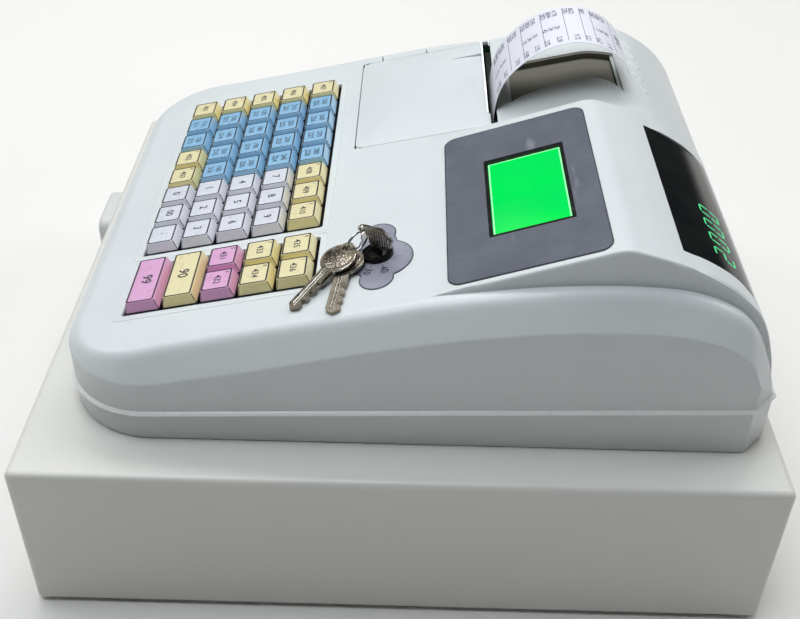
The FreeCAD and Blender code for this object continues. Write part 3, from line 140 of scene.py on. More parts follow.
class Mat:
    """A procedural material: a shader with a few noises for colour, gloss and relief."""

    def __init__(self, name, color, rough, metallic=0.0, coat=0.0, ior=1.5):
        self.m = bpy.data.materials.new(name)
        self.m.use_nodes = True
        self.t = self.m.node_tree
        self.b = self.t.nodes["Principled BSDF"]
        self.b.inputs["Base Color"].default_value = rgba(color)
        self.b.inputs["Roughness"].default_value = rough
        self.b.inputs["Metallic"].default_value = metallic
        self.b.inputs["IOR"].default_value = ior
        self.b.inputs["Coat Weight"].default_value = coat
        self.b.inputs["Coat Roughness"].default_value = 0.12
        self.color, self.rough = color, rough
        self.coord = self.t.nodes.new("ShaderNodeTexCoord")
        self.normal = None
        self.last_color = None

    def link(self, a, b):
        self.t.links.new(a, b)

    def noise(self, scale, detail=3.0, stretch=None):
        n = self.t.nodes.new("ShaderNodeTexNoise")
        n.inputs["Scale"].default_value = scale
        n.inputs["Detail"].default_value = detail
        if stretch:
            mp = self.t.nodes.new("ShaderNodeMapping")
            mp.inputs["Scale"].default_value = stretch
            self.link(self.coord.outputs["Object"], mp.inputs["Vector"])
            self.link(mp.outputs["Vector"], n.inputs["Vector"])
        else:
            self.link(self.coord.outputs["Object"], n.inputs["Vector"])
        return n

    def ramp(self, src, lo, hi, a, b):
        r = self.t.nodes.new("ShaderNodeMapRange")
        r.inputs["From Min"].default_value = lo
        r.inputs["From Max"].default_value = hi
        r.inputs["To Min"].default_value = a
        r.inputs["To Max"].default_value = b
        self.link(src, r.inputs["Value"])
        return r.outputs["Result"]

    def mix(self, fac, a, b):
        n = self.t.nodes.new("ShaderNodeMix")
        n.data_type = "RGBA"
        if hasattr(fac, "is_linked"):
            self.link(fac, n.inputs["Factor"])
        else:
            n.inputs["Factor"].default_value = fac
        for sock, val in ((n.inputs[6], a), (n.inputs[7], b)):
            if hasattr(val, "is_linked"):
                self.link(val, sock)
            else:
                sock.default_value = rgba(val)
        return n.outputs[2]

    def vary(self, other, scale, lo=0.4, hi=0.65, detail=3.0, stretch=None):
        """Blend the colour towards another one in soft patches."""
        n = self.noise(scale, detail, stretch)
        f = self.ramp(n.outputs["Fac"], lo, hi, 0.0, 1.0)
        out = self.mix(f, self.last_color if self.last_color is not None else self.color, other)
        self.last_color = out
        self.link(out, self.b.inputs["Base Color"])
        return self

    def gloss(self, scale, a, b, detail=3.0, stretch=None):
        n = self.noise(scale, detail, stretch)
        self.link(self.ramp(n.outputs["Fac"], 0.35, 0.65, a, b), self.b.inputs["Roughness"])
        return self

    def grain(self, scale, strength, distance=0.00005, detail=3.0, stretch=None, voronoi=False):
        if voronoi:
            n = self.t.nodes.new("ShaderNodeTexVoronoi")
            n.inputs["Scale"].default_value = scale
            self.link(self.coord.outputs["Object"], n.inputs["Vector"])
            src = n.outputs["Distance"]
        else:
            src = self.noise(scale, detail, stretch).outputs["Fac"]
        bump = self.t.nodes.new("ShaderNodeBump")
        bump.inputs["Strength"].default_value = strength
        bump.inputs["Distance"].default_value = distance
        self.link(src, bump.inputs["Height"])
        if self.normal is not None:
            self.link(self.normal, bump.inputs["Normal"])
        self.normal = bump.outputs["Normal"]
        self.link(self.normal, self.b.inputs["Normal"])
        return self

    def edge_wear(self, other, lo=0.52, hi=0.62):
        """Lighter or darker along convex edges, from the mesh's own curvature."""
        g = self.t.nodes.new("ShaderNodeNewGeometry")
        f = self.ramp(g.outputs["Pointiness"], lo, hi, 0.0, 1.0)
        out = self.mix(f, self.last_color if self.last_color is not None else self.color, other)
        self.last_color = out
        self.link(out, self.b.inputs["Base Color"])
        return self

    def glow(self, color, strength):
        self.b.inputs["Emission Color"].default_value = rgba(color)
        self.b.inputs["Emission Strength"].default_value = strength
        return self


def plastic(name, color, rough=0.42, grain=1500.0, bump=0.18, tint=0.955, coat=0.0):
    m = Mat(name, color, rough, coat=coat)
    m.vary(tuple(c * tint for c in color), 9.0)
    m.gloss(160.0, rough - 0.05, rough + 0.06)
    m.grain(grain, bump, 0.00004)
    m.grain(14.0, 0.03, 0.0006)
    return m


case_mat = plastic("case_white", (0.70, 0.735, 0.745), 0.36, 1700.0, 0.14)
lower_mat = plastic("case_lower_white", (0.72, 0.745, 0.745), 0.36, 1700.0, 0.14)
paint_mat = Mat("housing_paint", (0.74, 0.735, 0.70), 0.38)
paint_mat.vary((0.71, 0.705, 0.665), 7.0).gloss(120.0, 0.30, 0.44)
paint_mat.grain(900.0, 0.25, 0.00008, voronoi=True).grain(380.0, 0.20, 0.0001)
front_mat = Mat("front_paint", (0.68, 0.685, 0.675), 0.38)
front_mat.vary((0.65, 0.655, 0.64), 7.0).gloss(120.0, 0.30, 0.44).grain(900.0, 0.25, 0.00008, voronoi=True)


def metal(name, color, rough, brush=None, scale=700.0, bump=0.12, tint=0.8, vary=60.0):
    m = Mat(name, color, rough, metallic=1.0)
    m.vary(tuple(c * tint for c in color), vary, 0.35, 0.7, 3.0, brush)
    m.gloss(scale * 0.3, rough - 0.06, rough + 0.10, 3.0, brush)
    m.grain(scale, bump, 0.00002, 3.0, brush)
    return m


zinc_mat = metal("zinc", (0.56, 0.57, 0.58), 0.34, (1, 6, 1))
spring_mat = metal("spring_steel", (0.40, 0.41, 0.44), 0.30, (1, 8, 1))
chrome_mat = metal("lock_chrome", (0.74, 0.74, 0.74), 0.14, None, 900.0, 0.05)
motor_mat = metal("motor_can", (0.33, 0.34, 0.36), 0.36, (8, 1, 1))
brass_mat = metal("brass", (0.72, 0.55, 0.25), 0.26)
head_mat = metal("head_aluminium", (0.60, 0.61, 0.62), 0.32, (6, 1, 1))
rubber_mat = Mat("foot_rubber", (0.025, 0.025, 0.025), 0.78).vary((0.05, 0.05, 0.05), 60.0).grain(1200.0, 0.5, 0.00008)
platen_mat = Mat("platen_rubber", (0.03, 0.03, 0.033), 0.62).vary((0.05, 0.05, 0.052), 90.0).grain(1600.0, 0.4, 0.00005)
tray_mat = plastic("tray_plastic", (0.022, 0.022, 0.024), 0.46, 1300.0, 0.3, 1.5)
bed_mat = plastic("key_bed_plastic", (0.012, 0.012, 0.013), 0.5, 1300.0, 0.3, 1.5)
inlet_mat = plastic("inlet_plastic", (0.018, 0.018, 0.019), 0.4, 1300.0, 0.3, 1.4)
board_mat = Mat("board_green", (0.012, 0.10, 0.04), 0.42).vary((0.02, 0.17, 0.07), 220.0, 0.48, 0.52, 1.0).grain(400.0, 0.3, 0.0001)
MAT = {}


# ------------------------------------------------------------------ mesh helpers
def new_object(name, verts, faces, mat, body="register", smooth=35.0, node=None, slot=None):
    """A mesh object from layout millimetres, smooth where faces meet under an angle."""
    me = bpy.data.meshes.new(name)
    me.from_pydata([tuple(p) for p in place(verts)], [], [tuple(int(i) for i in f) for f in faces])
    me.validate()
    me.update()
    ob = bpy.data.objects.new(name, me)
    COL.objects.link(ob)
    finish_mesh(ob, mat, smooth)
    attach(ob, body)
    if node:
        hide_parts(*([node] if isinstance(node, str) else node))
    return ob


def finish_mesh(ob, mat, smooth=35.0):
    me = ob.data
    if mat is not None:
        me.materials.clear()
        for m in (mat if isinstance(mat, (list, tuple)) else [mat]):
            me.materials.append(m.m if isinstance(m, Mat) else m)
    bm = bmesh.new()
    bm.from_mesh(me)
    bmesh.ops.recalc_face_normals(bm, faces=bm.faces)
    for f in bm.faces:
        f.smooth = True
    limit = math.radians(smooth)
    for e in bm.edges:
        e.smooth = len(e.link_faces) == 2 and e.calc_face_angle(math.pi) < limit
    bm.to_mesh(me)
    bm.free()


def grid_faces(rows, cols, start=0, wrap=False, flip=False):
    out = []
    for r in range(rows - 1):
        for c in range(cols if wrap else cols - 1):
            a = start + r * cols + c
            b = start + r * cols + (c + 1) % cols
            q = (a, b, b + cols, a + cols)
            out.append(q[::-1] if flip else q)
    return out


def rounded_rect(w, h, r, n=6):
    """Outline of a rectangle with round corners about the origin, counter-clockwise."""
    pts = []
    for cx, cy, a0 in ((w / 2 - r, -h / 2 + r, -90), (w / 2 - r, h / 2 - r, 0), (-w / 2 + r, h / 2 - r, 90),
                       (-w / 2 + r, -h / 2 + r, 180)):
        for i in range(n + 1):
            a = math.radians(a0 + 90.0 * i / n)
            pts.append((cx + r * math.cos(a), cy + r * math.sin(a)))
    return np.array(pts)


def loft(rings, close_low=True, close_top=True):
    """Faces through rings of equal length. Rings are arrays of 3-D points."""
    n = len(rings[0])
    verts = np.concatenate(rings)
    faces = grid_faces(len(rings), n, wrap=True)
    if close_low:
        faces.append(tuple(range(n - 1, -1, -1)))
    if close_top:
        k = (len(rings) - 1) * n
        faces.append(tuple(range(k, k + n)))
    return verts, faces


def merge(parts):
    verts, faces, k = [], [], 0
    for v, f in parts:
        v = np.asarray(v, float).reshape(-1, 3)
        verts.append(v)
        faces += [tuple(i + k for i in face) for face in f]
        k += len(v)
    return np.concatenate(verts), faces


def tube(points, radius, n=10, closed=False):
    """A round wire along layout points."""
    pts = np.asarray(points, float)
    m = len(pts)
    rings = []
    last = None
    for i in range(m):
        a = pts[(i - 1) % m] if (closed or i > 0) else pts[i]
        b = pts[(i + 1) % m] if (closed or i < m - 1) else pts[i]
        t = (b - a) / np.linalg.norm(b - a)
        ref = last if last is not None else (np.array([0, 0, 1.0]) if abs(t[2]) < 0.9 else np.array([1.0, 0, 0]))
        s = ref - t * np.dot(ref, t)
        s /= np.linalg.norm(s)
        last = s
        w = np.cross(t, s)
        ang = np.arange(n) * 2 * math.pi / n
        rings.append(pts[i] + radius * (np.cos(ang)[:, None] * s + np.sin(ang)[:, None] * w))
    if closed:
        verts = np.concatenate(rings)
        faces = grid_faces(m, n, wrap=True)
        k = (m - 1) * n
        faces += [(k + c, k + (c + 1) % n, (c + 1) % n, c) for c in range(n)]
        return verts, faces
    return loft(rings)


def boolean(base, cutter, mode="DIFFERENCE"):
    mod = base.modifiers.new("cut", "BOOLEAN")
    mod.operation = mode
    mod.object = cutter
    for solver in ("MANIFOLD", "EXACT"):
        try:
            mod.solver = solver
            break
        except TypeError:
            continue
    dg = bpy.context.evaluated_depsgraph_get()
    me = bpy.data.meshes.new_from_object(base.evaluated_get(dg))
    if len(me.polygons) < 10:
        mod.solver = "EXACT"
        dg = bpy.context.evaluated_depsgraph_get()
        me = bpy.data.meshes.new_from_object(base.evaluated_get(dg))
    base.modifiers.remove(mod)
    base.data = me
    bpy.data.objects.remove(cutter)


def raw(name, parts):
    """A plain object that only serves to cut another."""
    verts, faces = merge(parts)
    me = bpy.data.meshes.new(name)
    me.from_pydata([tuple(p) for p in place(verts)], [], faces)
    bm = bmesh.new()
    bm.from_mesh(me)
    bmesh.ops.recalc_face_normals(bm, faces=bm.faces)
    bm.to_mesh(me)
    bm.free()
    ob = bpy.data.objects.new(name, me)
    COL.objects.link(ob)
    return ob


# ------------------------------------------------------------------ case surface
SIDE = [(-133, 142.6), (-120, 146.0), (-106, 148.9), (-79, 154.6), (-53, 160.9), (-27, 167.1), (-1, 172.7),
        (24, 177.6), (49, 181.3), (74, 184.1), (99, 185.6), (124, 185.6), (150, 182.5), (172, 173.6),
        (182, 163.4), (186.6, 153.2), (190, 145.0)]
LEDGE = [(-300, DECK0 - 300 * RISE), (-40, DECK0 - 40 * RISE), (-8, DECK0 - 8 * RISE), (8, 191.71), (24, 194.6),
         (49, 198.3), (74, 201.1), (99, 202.6), (124, 202.6), (150, 199.5), (166, 193.6),
         (176, 187.2), (184, 178.0), (190, 167.5), (194, 158.0), (197.5, 147.0), (200, 132.0)]
BLOCK = [(-300, DECK0 - 300 * RISE), (60, DECK0 + 60 * RISE), (90, DECK0 + 90 * RISE), (106, DECK0 + 106 * RISE),
         (118, 216.3), (126, 216.2), (137, 215.0), (150, 211.4), (161, 205.8), (170.4, 199.6), (177.2, 193.5),
         (182.2, 187.7), (186.5, 181.4), (190.4, 173.6), (194, 163.5), (197.5, 150.0), (200, 134.0)]
PODTOP = [(-300, 195 - 320 * PRISE), (40, 195 + 20 * PRISE), (80, 195 + 60 * PRISE), (100, 195 + 80 * PRISE),
          (106, 223.3), (110, 223.9), (114, 223.7), (120, 222.2), (131, 219.0), (142, 214.8), (155, 208.4), (165, 202.4),
          (174, 195.8), (182, 188.4), (187, 181.8), (191, 173.4), (194.3, 163.7), (197.7, 150.0), (200, 134.0)]


def hermite(points):
    """A smooth function through points, with straight ends."""
    xs = np.array([p[0] for p in points], float)
    ys = np.array([p[1] for p in points], float)
    d = np.diff(ys) / np.diff(xs)
    m = np.empty(len(xs))
    m[0], m[-1] = d[0], d[-1]
    h0, h1 = np.diff(xs)[:-1], np.diff(xs)[1:]
    m[1:-1] = (d[:-1] * h1 + d[1:] * h0) / (h0 + h1)

    def f(x):
        x = np.asarray(x, float)
        i = np.clip(np.searchsorted(xs, x) - 1, 0, len(xs) - 2)
        h = xs[i + 1] - xs[i]
        t = (x - xs[i]) / h
        inside = (2 * t ** 3 - 3 * t ** 2 + 1) * ys[i] + (t ** 3 - 2 * t ** 2 + t) * h * m[i] \
            + (-2 * t ** 3 + 3 * t ** 2) * ys[i + 1] + (t ** 3 - t ** 2) * h * m[i + 1]
        lo = ys[0] + m[0] * (x - xs[0])
        hi = ys[-1] + m[-1] * (x - xs[-1])
        return np.where(x < xs[0], lo, np.where(x > xs[-1], hi, inside))
    return f


side_curve = hermite(SIDE)
f_ledge, f_block, f_pod = hermite(LEDGE), hermite(BLOCK), hermite(PODTOP)
STEEP = 1.35
HALF, FRONT, BACK, CORNER = 168.0, -187.0, 200.0, 50.0


def f_side(y):
    y = np.asarray(y, float)
    flat = np.where(y < -133, 142.6, side_curve(np.maximum(y, -133)))
    # the flat front line eases into the rising side line
    t = np.clip((y + 145) / 24.0, 0, 1)
    ease = 142.6 + (side_curve(np.full_like(y, -121.0)) - 142.6) * t * t * 0.98
    return np.where((y > -145) & (y < -121), ease, flat)


def plan_distance(x, y):
    ax = np.abs(x)
    d = np.minimum(HALF - ax, y - FRONT)
    corner = (y < FRONT + CORNER) & (ax > HALF - CORNER)
    dc = CORNER - np.hypot(ax - (HALF - CORNER), y - (FRONT + CORNER))
    return np.where(corner, dc, d)


def smooth_min(a, b, k):
    h = np.clip(k - np.abs(a - b), 0, None) / k
    return np.minimum(a, b) - h * h * k * 0.25


def band(d):
    """Height of the bevel over its foot line, with a small round where it leaves the side wall."""
    r = 3.0
    dd = np.clip(d, 0, r)
    low = -0.33 * r + np.sqrt(np.maximum(r * r - (r - dd) ** 2, 0))
    return np.where(d < 0.59, low + np.minimum(d, 0) * 3.0, STEEP * d)


def shoulder(s, r):
    """How far a rounded top edge of radius r drops at a distance s inside it."""
    r = np.maximum(r, 1e-6)
    t = np.clip(r - s, 0, r)
    return r - np.sqrt(np.maximum(r * r - t * t, 0))


BLOCK_HALF, POD_LEFT, POD_RIGHT = 148.5, -17.0, 149.5


def height(x, y):
    """The case's upper surface over the plan, in layout millimetres."""
    x, y = np.broadcast_arrays(np.asarray(x, float), np.asarray(y, float))
    body = smooth_min(f_ledge(y), f_side(y) + band(plan_distance(x, y)), 4.6)
    block = f_block(y)
    ax = np.abs(x)
    wall = np.clip(block - body, 0, None)
    inside = ax <= BLOCK_HALF + 1e-6
    b = block - shoulder(BLOCK_HALF - ax, np.minimum(2.6, 0.8 * wall))
    z = np.where(inside & (y > 2), np.maximum(body, b), body)
    top = f_pod(y)
    in_pod = (x >= POD_LEFT - 1e-6) & (x <= POD_RIGHT + 1e-6) & (y > 12)
    rise = np.clip(top - z, 0, None)
    p = top - shoulder(x - POD_LEFT, np.minimum(4.0, 0.85 * rise)) - shoulder(POD_RIGHT - x, np.minimum(2.6, 0.8 * rise))
    return np.where(in_pod, np.maximum(z, p), z)


def part_line(y, lift=2.1):
    return 127.6 + lift + 0.0385 * np.asarray(y, float)


def spread(*runs):
    """Values from runs of (start, end, step), joined."""
    out = []
    for a, b, s in runs:
        n = max(int(round((b - a) / s)), 1)
        out += list(np.linspace(a, b, n, endpoint=False))
    out.append(runs[-1][1])
    return np.array(out)


EDGE_D = [0.0, 0.03, 0.12, 0.26, 0.42, 0.59, 1.2, 2.2]
edge_cols = [HALF - d for d in EDGE_D]
right = list(spread((0.6, 117.0, 4.0), (117.0, 147.0, 1.5), (147.0, 148.5, 0.3))) + [148.52, 149.0, 149.5, 149.52, 150.2] \
    + list(spread((151.0, 165.0, 1.1))) + edge_cols[::-1]
right = np.array(sorted(set(np.round(right, 3))))
left = -right[::-1]
left = np.array(sorted(set(list(np.round(left, 3)) + [-17.02, -17.0, -16.7, -16.2, -15.4, -14.4, -13.0])))
COLS = np.concatenate([left, right])
ROWS = np.array(sorted(set(np.round(
    [FRONT + d for d in EDGE_D] + list(spread((-184.0, -137.0, 1.3))) + list(spread((-137.0, -10.0, 3.4)))
    + list(spread((-10.0, 118.0, 2.2), (118.0, 176.0, 1.5), (176.0, 190.0, 0.8), (190.0, 200.0, 0.45))), 3))))
ROWS = ROWS[(ROWS <= BACK)]


def half_width(y, inset=0.0):
    y = np.asarray(y, float)
    r = CORNER - inset
    yc = np.clip(FRONT + CORNER - y, 0, r)
    hx = HALF - CORNER + np.sqrt(np.maximum(r * r - yc * yc, 0))
    hx = np.where(y < FRONT + CORNER, hx, HALF - inset)
    b = BACK - 13.0
    return np.where(y > b, HALF - inset - (y - b), hx)


def plan_grid(inset):
    ys = ROWS.copy()
    if inset:
        lowf = ys < FRONT + CORNER
        ys[lowf] = FRONT + CORNER + (ys[lowf] - FRONT - CORNER) * (CORNER - inset) / CORNER
        hib = ys > BACK - 13.0
        ys[hib] = BACK - 13.0 + (ys[hib] - BACK + 13.0) * (13.0 - inset) / 13.0
    xs = np.tile(COLS, (len(ys), 1))
    hx = half_width(ys, inset)
    for j in range(len(ys)):
        pivot = HALF - CORNER - 1.0 if ys[j] < 0 else 150.2
        outer = np.abs(xs[j]) > pivot
        s = np.sign(xs[j])
        xs[j] = np.where(outer, s * (pivot + (np.abs(xs[j]) - pivot) * (hx[j] - pivot) / (HALF - pivot)), xs[j])
    return xs, np.tile(ys[:, None], (1, len(COLS)))


def loop_of(rows, cols):
    """The border of a grid as one ring of indices."""
    idx = np.arange(rows * cols).reshape(rows, cols)
    return np.concatenate([idx[0, :], idx[1:, -1], idx[-1, -2::-1], idx[-2:0:-1, 0]])


def case_shell():
    xo, yo = plan_grid(0.0)
    zo = np.maximum(height(xo, yo), part_line(yo) + 1.0)
    xi, yi = plan_grid(2.5)
    zi = np.full(xi.shape, 1e9)
    for rad, drop in ((0.0, 2.5), (1.5, 2.0), (2.5, 0.0)):
        for a in ([0] if rad == 0 else range(0, 360, 30)):
            zi = np.minimum(zi, height(xi + rad * math.cos(math.radians(a)), yi + rad * math.sin(math.radians(a))) - drop)
    zi = np.maximum(zi, part_line(yi) + 0.9)
    R, C = xo.shape
    ring = loop_of(R, C)
    vo = np.stack([xo, yo, zo], -1).reshape(-1, 3)
    vi = np.stack([xi, yi, zi], -1).reshape(-1, 3)
    verts = [vo, vi]
    k = 2 * R * C
    faces = grid_faces(R, C) + grid_faces(R, C, start=R * C, flip=True)
    # outer wall down to the parting line, then across to the inner wall
    rim = vo[ring].copy()
    steps = []
    for lift, inset in ((0.62, 0.0), (0.22, 0.1), (0.03, 0.4)):
        p = rim.copy()
        p[:, 2] = part_line(rim[:, 1]) + lift
        n = inset / 168.0
        p[:, 0] *= 1 - n
        p[:, 1] = p[:, 1] * (1 - n)
        steps.append(p)
    inner = vi[ring].copy()
    low = inner.copy()
    low[:, 2] = part_line(inner[:, 1]) + 0.03
    steps.append(low)
    verts += steps
    m = len(ring)
    prev = ring
    for s in range(len(steps)):
        cur = k + s * m + np.arange(m)
        for i in range(m):
            j = (i + 1) % m
            faces.append((prev[i], cur[i], cur[j], prev[j]))
        prev = cur
    tops = ring + R * C
    for i in range(m):
        j = (i + 1) % m
        faces.append((prev[i], tops[i], tops[j], prev[j]))
    return np.concatenate(verts), faces


def prism(outline, frame_fn, w0, w1, flare=0.0, centre=(0, 0), steps=4):
    """A cutter with an outline in a tilted frame, with its mouth opened by a small round at w = 0."""
    o = np.asarray(outline, float)
    c = o.mean(0)

    def ring(grow, w):
        # move each side out by the same amount, whatever the outline
        nxt, prv = np.roll(o, -1, 0), np.roll(o, 1, 0)
        t = nxt - prv
        t /= np.linalg.norm(t, axis=1)[:, None]
        n = np.stack([t[:, 1], -t[:, 0]], -1)
        p = o + n * grow + np.asarray(centre)
        return frame_fn(p[:, 0], p[:, 1], w)
    rings = [ring(0, w0)]
    if flare:
        for i in range(steps + 1):
            a = 0.5 * math.pi * i / steps
            rings.append(ring(flare * (1 - math.cos(a)), -flare * (1 - math.sin(a))))
        rings.append(ring(flare, w1))
    else:
        rings.append(ring(0, w1))
    return loft(rings)


cov_low, cov_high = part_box("paper_cover")
COVER_L = cov_low.x * 1000 + 2.0
COVER_R = cov_high.x * 1000 - 2.0
V0, V1 = -34.9, 53.3
KU0 = -10.7 + 53.5 - 7 * 22.9 - 1.5
KU1 = 53.5 + 10.7 + 1.5
KR = 53.5 + 22.9 + 11.8
KR0, KR1 = KR - 12.2, KR + 22.9 + 12.2
KV0 = -148.3 - 10.1 - 1.5
KV1 = -148.3 + 4 * 21.7 + 10.1 + 1.5


def rect(u0, u1, v0, v1, r, n=5):
    p = rounded_rect(u1 - u0, v1 - v0, r, n)
    return p + np.array([(u0 + u1) / 2, (v0 + v1) / 2])


def circle(u, v, r, n=48):
    a = np.arange(n) * 2 * math.pi / n
    return np.stack([u + r * np.cos(a), v + r * np.sin(a)], -1)


def flat(u, v, w):
    u, v, w = np.broadcast_arrays(np.asarray(u, float), np.asarray(v, float), np.asarray(w, float))
    return np.stack([u, v, w], -1)


S0, S1 = (45.0 - 20.0) / CP, (90.0 - 20.0) / CP
verts, faces = case_shell()
case = new_object("case_upper", verts, faces, case_mat, smooth=40, node="upper_case", slot="case_plastic")
cutters = [
    prism(rect(KU0, KU1, KV0, KV1, 1.2), deck, -12, 8, 0.7),
    prism(rect(KR0, KR1, KV0, KV1, 1.2), deck, -12, 8, 0.7),
    prism(circle(104.6, -15.0, 8.8), deck, -12, 8, 0.3),
    prism(rect(30.0, 110.5, S0, S1, 0.4, 2), pod, -9, 8),
    prism(rect(0.0, 134.0, 142.0, 184.0, 0.3, 2), flat, 150, 250),
    prism(rect(COVER_L - 0.45, COVER_R + 0.45, V0 - 0.6, V1 + 4.2, 1.5), deck, -9, 8, 0.4),
]
cut_ob = raw("cutters", cutters)
boolean(case, cut_ob)
finish_mesh(case, case_mat, 40)
print("case", len(case.data.polygons))


# ------------------------------------------------------------------ lower case
def outline_ring(step=2.4):
    """Plan outline points with outward directions, counter-clockwise from the front left."""
    pts, out = [], []
    s = CORNER

    def run(a, b, n):
        a, b = np.array(a, float), np.array(b, float)
        d = (b - a) / np.linalg.norm(b - a)
        for i in range(n):
            pts.append(a + (b - a) * i / n)
            out.append((d[1], -d[0]))
    run((-HALF + s, FRONT), (HALF - s, FRONT), 60)
    for i in range(22):
        a = math.radians(-90 + 90 * i / 22)
        pts.append(np.array([HALF - s + s * math.cos(a), FRONT + s + s * math.sin(a)]))
        out.append((math.cos(a), math.sin(a)))
    run((HALF, FRONT + s), (HALF, BACK - 13), 80)
    c = math.sqrt(0.5)
    run((HALF, BACK - 13), (HALF - 13, BACK), 4)
    run((HALF - 13, BACK), (-HALF + 13, BACK), 70)
    run((-HALF + 13, BACK), (-HALF, BACK - 13), 4)
    run((-HALF, BACK - 13), (-HALF, FRONT + s), 80)
    for i in range(22):
        a = math.radians(180 + 90 * i / 22)
        pts.append(np.array([-HALF + s + s * math.cos(a), FRONT + s + s * math.sin(a)]))
        out.append((math.cos(a), math.sin(a)))
    pts, out = np.array(pts), np.array(out)
    # soften the directions at the back bevels
    out = (out + np.roll(out, 1, 0) * 0.5 + np.roll(out, -1, 0) * 0.5)
    out /= np.linalg.norm(out, axis=1)[:, None]
    return pts, out


def lower_shell():
    p, n = outline_ring()
    line = part_line(p[:, 1], 0.0)
    base = 104.8

    def ring(off, z):
        z = np.broadcast_to(z, (len(p),))
        q = p + n * off
        return np.column_stack([q, z])
    rings = [ring(-1.6, base), ring(-0.9, base + 0.15), ring(-0.3, base + 0.7), ring(0.0, base + 1.6),
             ring(0.0, line - 1.2), ring(0.0, line - 0.12), ring(0.18, line + 0.0), ring(0.62, line + 0.05),
             ring(0.9, line + 0.28), ring(1.0, line + 0.7), ring(1.0, line + 1.35), ring(0.88, line + 1.8),
             ring(0.55, line + 2.06), ring(0.0, line + 2.1), ring(-2.5, line + 2.1), ring(-2.5, base + 2.5)]
    return loft(rings)


verts, faces = lower_shell()
lower = new_object("case_lower", verts, faces, lower_mat, smooth=40, node="lower_case", slot="case_lower_plastic")
low_cut = raw("low_cutters", [prism(circle(120.0, 116.0, 6.0, 32), lambda u, v, w: np.stack(
    [np.broadcast_to(u, np.shape(u)), np.broadcast_to(np.asarray(w, float), np.shape(u)), v], -1), 190, 210),
    prism(rect(-25, 25, 150, 175, 1.0, 2), flat, 100, 112)])
boolean(lower, low_cut)
finish_mesh(lower, lower_mat, 40)


# ------------------------------------------------------------------ recess, slits and ribs of the hood
def strip_cutter(ys, near, far, depth, up=7.0):
    """A cutter over the hood between two edges that run along Y, with a floor that follows the hood."""
    y = np.linspace(ys[0], ys[-1], 60)
    xn, xf = np.interp(y, ys, near), np.full_like(y, far)
    rings = []
    for j in range(len(y)):
        z = float(f_block(y[j]))
        rings.append(np.array([[xf[j], y[j], z - depth], [xn[j], y[j], z - depth], [xn[j], y[j], z + up], [xf[j], y[j], z + up]]))
    return loft(rings)


ARC_Y = [64.5, 68, 72, 80, 88, 98, 108, 118, 126, 132, 137]
ARC_X = [-44, -48, -51, -54.5, -57, -60, -61.5, -61, -58, -53, -44]
AY = np.linspace(64.5, 137.0, 36)
AX = hermite(list(zip(ARC_Y, ARC_X)))(AY)
hood_cuts = [strip_cutter(AY, AX, -101.0, 2.2),
             strip_cutter(AY[1:-1], AX[1:-1] - 3.6, -99.0, 5.0)]
hood_cuts.append(prism(rect(-163, -144.8, -21.4, -20.2, 0.3, 2), deck, -9.0, 4))
hood_cuts.append(prism(rect(-163, -144.8, 11.2, 12.4, 0.3, 2), deck, -9.0, 4))
hood_cuts.append(prism(rect(-163, -144.0, 56.0, 57.2, 0.3, 2), deck, -9.0, 6))
hood_cuts.append(prism(rect(-36.5, -22.7, 55.3, 56.2, 0.3, 2), deck, -2.0, 6))
for k, cut_part in enumerate(hood_cuts):
    boolean(case, raw("hood_cutter_%d" % k, [cut_part]))
finish_mesh(case, case_mat, 40)


# The recess floor is dark warm grey as painted shade: it stands for the shadow the arched paper casts into the recess.
recess_painted_shade_mat = plastic("recess_floor_painted_shade", (0.200, 0.192, 0.160), 0.5, 1500.0, 0.15, 0.92)
new_object("recess_floor_painted_shade", *merge([strip_cutter(AY[0:-1], AX[0:-1] - 2.4, -102.0, 7.5, -4.2),
                                strip_cutter(AY[0:-1], np.full(35, -98.8), -102.0, 7.5, -0.6)]), recess_painted_shade_mat, slot="case_plastic")


def on_case(x, y, lift=0.0):
    return np.stack([x, y, height(x, y) + lift], -1)


def ridge(path, width, high, closed=True, n=6):
    """A low rounded ridge along a path given in the deck's own frame."""
    p = np.asarray(path, float)
    nxt, prv = np.roll(p, -1, 0), np.roll(p, 1, 0)
    if not closed:
        nxt[-1], prv[0] = p[-1], p[0]
    t = nxt - prv
    t /= np.linalg.norm(t, axis=1)[:, None]
    nrm = np.stack([t[:, 1], -t[:, 0]], -1)
    prof = [(-0.5 + i / n, math.sin(math.pi * i / n)) for i in range(n + 1)]
    cols = [deck(*(p + nrm * a * width).T, b * high - (0.05 if b < 0.01 else 0)) for a, b in prof]
    m = len(p)
    verts = np.concatenate(cols)
    faces = []
    for c in range(n):
        for i in range(m if closed else m - 1):
            j = (i + 1) % m
            faces.append((c * m + i, c * m + j, (c + 1) * m + j, (c + 1) * m + i))
    return verts, faces


borders = [ridge(rect(KU0 - 4.6, KU1 + 4.6, KV0 - 4.6, KV1 + 4.6, 3.0, 6), 1.1, 0.34),
           ridge(rect(KR0 - 4.6 + 1.2, KR1 + 4.6, KV0 - 4.6, KV1 + 4.6, 3.0, 6), 1.1, 0.34)]
new_object("keypad_borders", *merge(borders), case_mat, slot="case_plastic")

rib_parts = []
for x in (-122.0, -107.5, -90.5, -73.0, -56.0):
    path = []
    for t in np.linspace(-1, 1, 9):
        px, py = x + 3.4 * t, 150.0 + 3.0 * t
        path.append(on_case(np.array(px), np.array(py), -0.35))
    v, f = tube(path, 1.35, 10)
    c = v.mean(0)
    along_t = np.clip(np.linalg.norm((v - c)[:, :2], axis=1) / 5.4, 0, 1)
    mid = np.array([on_case(np.array(a), np.array(b), -0.35) for a, b in v[:, :2]])
    v[:, 2] = mid[:, 2] + (v[:, 2] - mid[:, 2]) * np.sqrt(np.clip(1 - along_t ** 4, 0, 1))
    rib_parts.append((v, f))
new_object("hood_ribs", *merge(rib_parts), case_mat, slot="case_plastic")


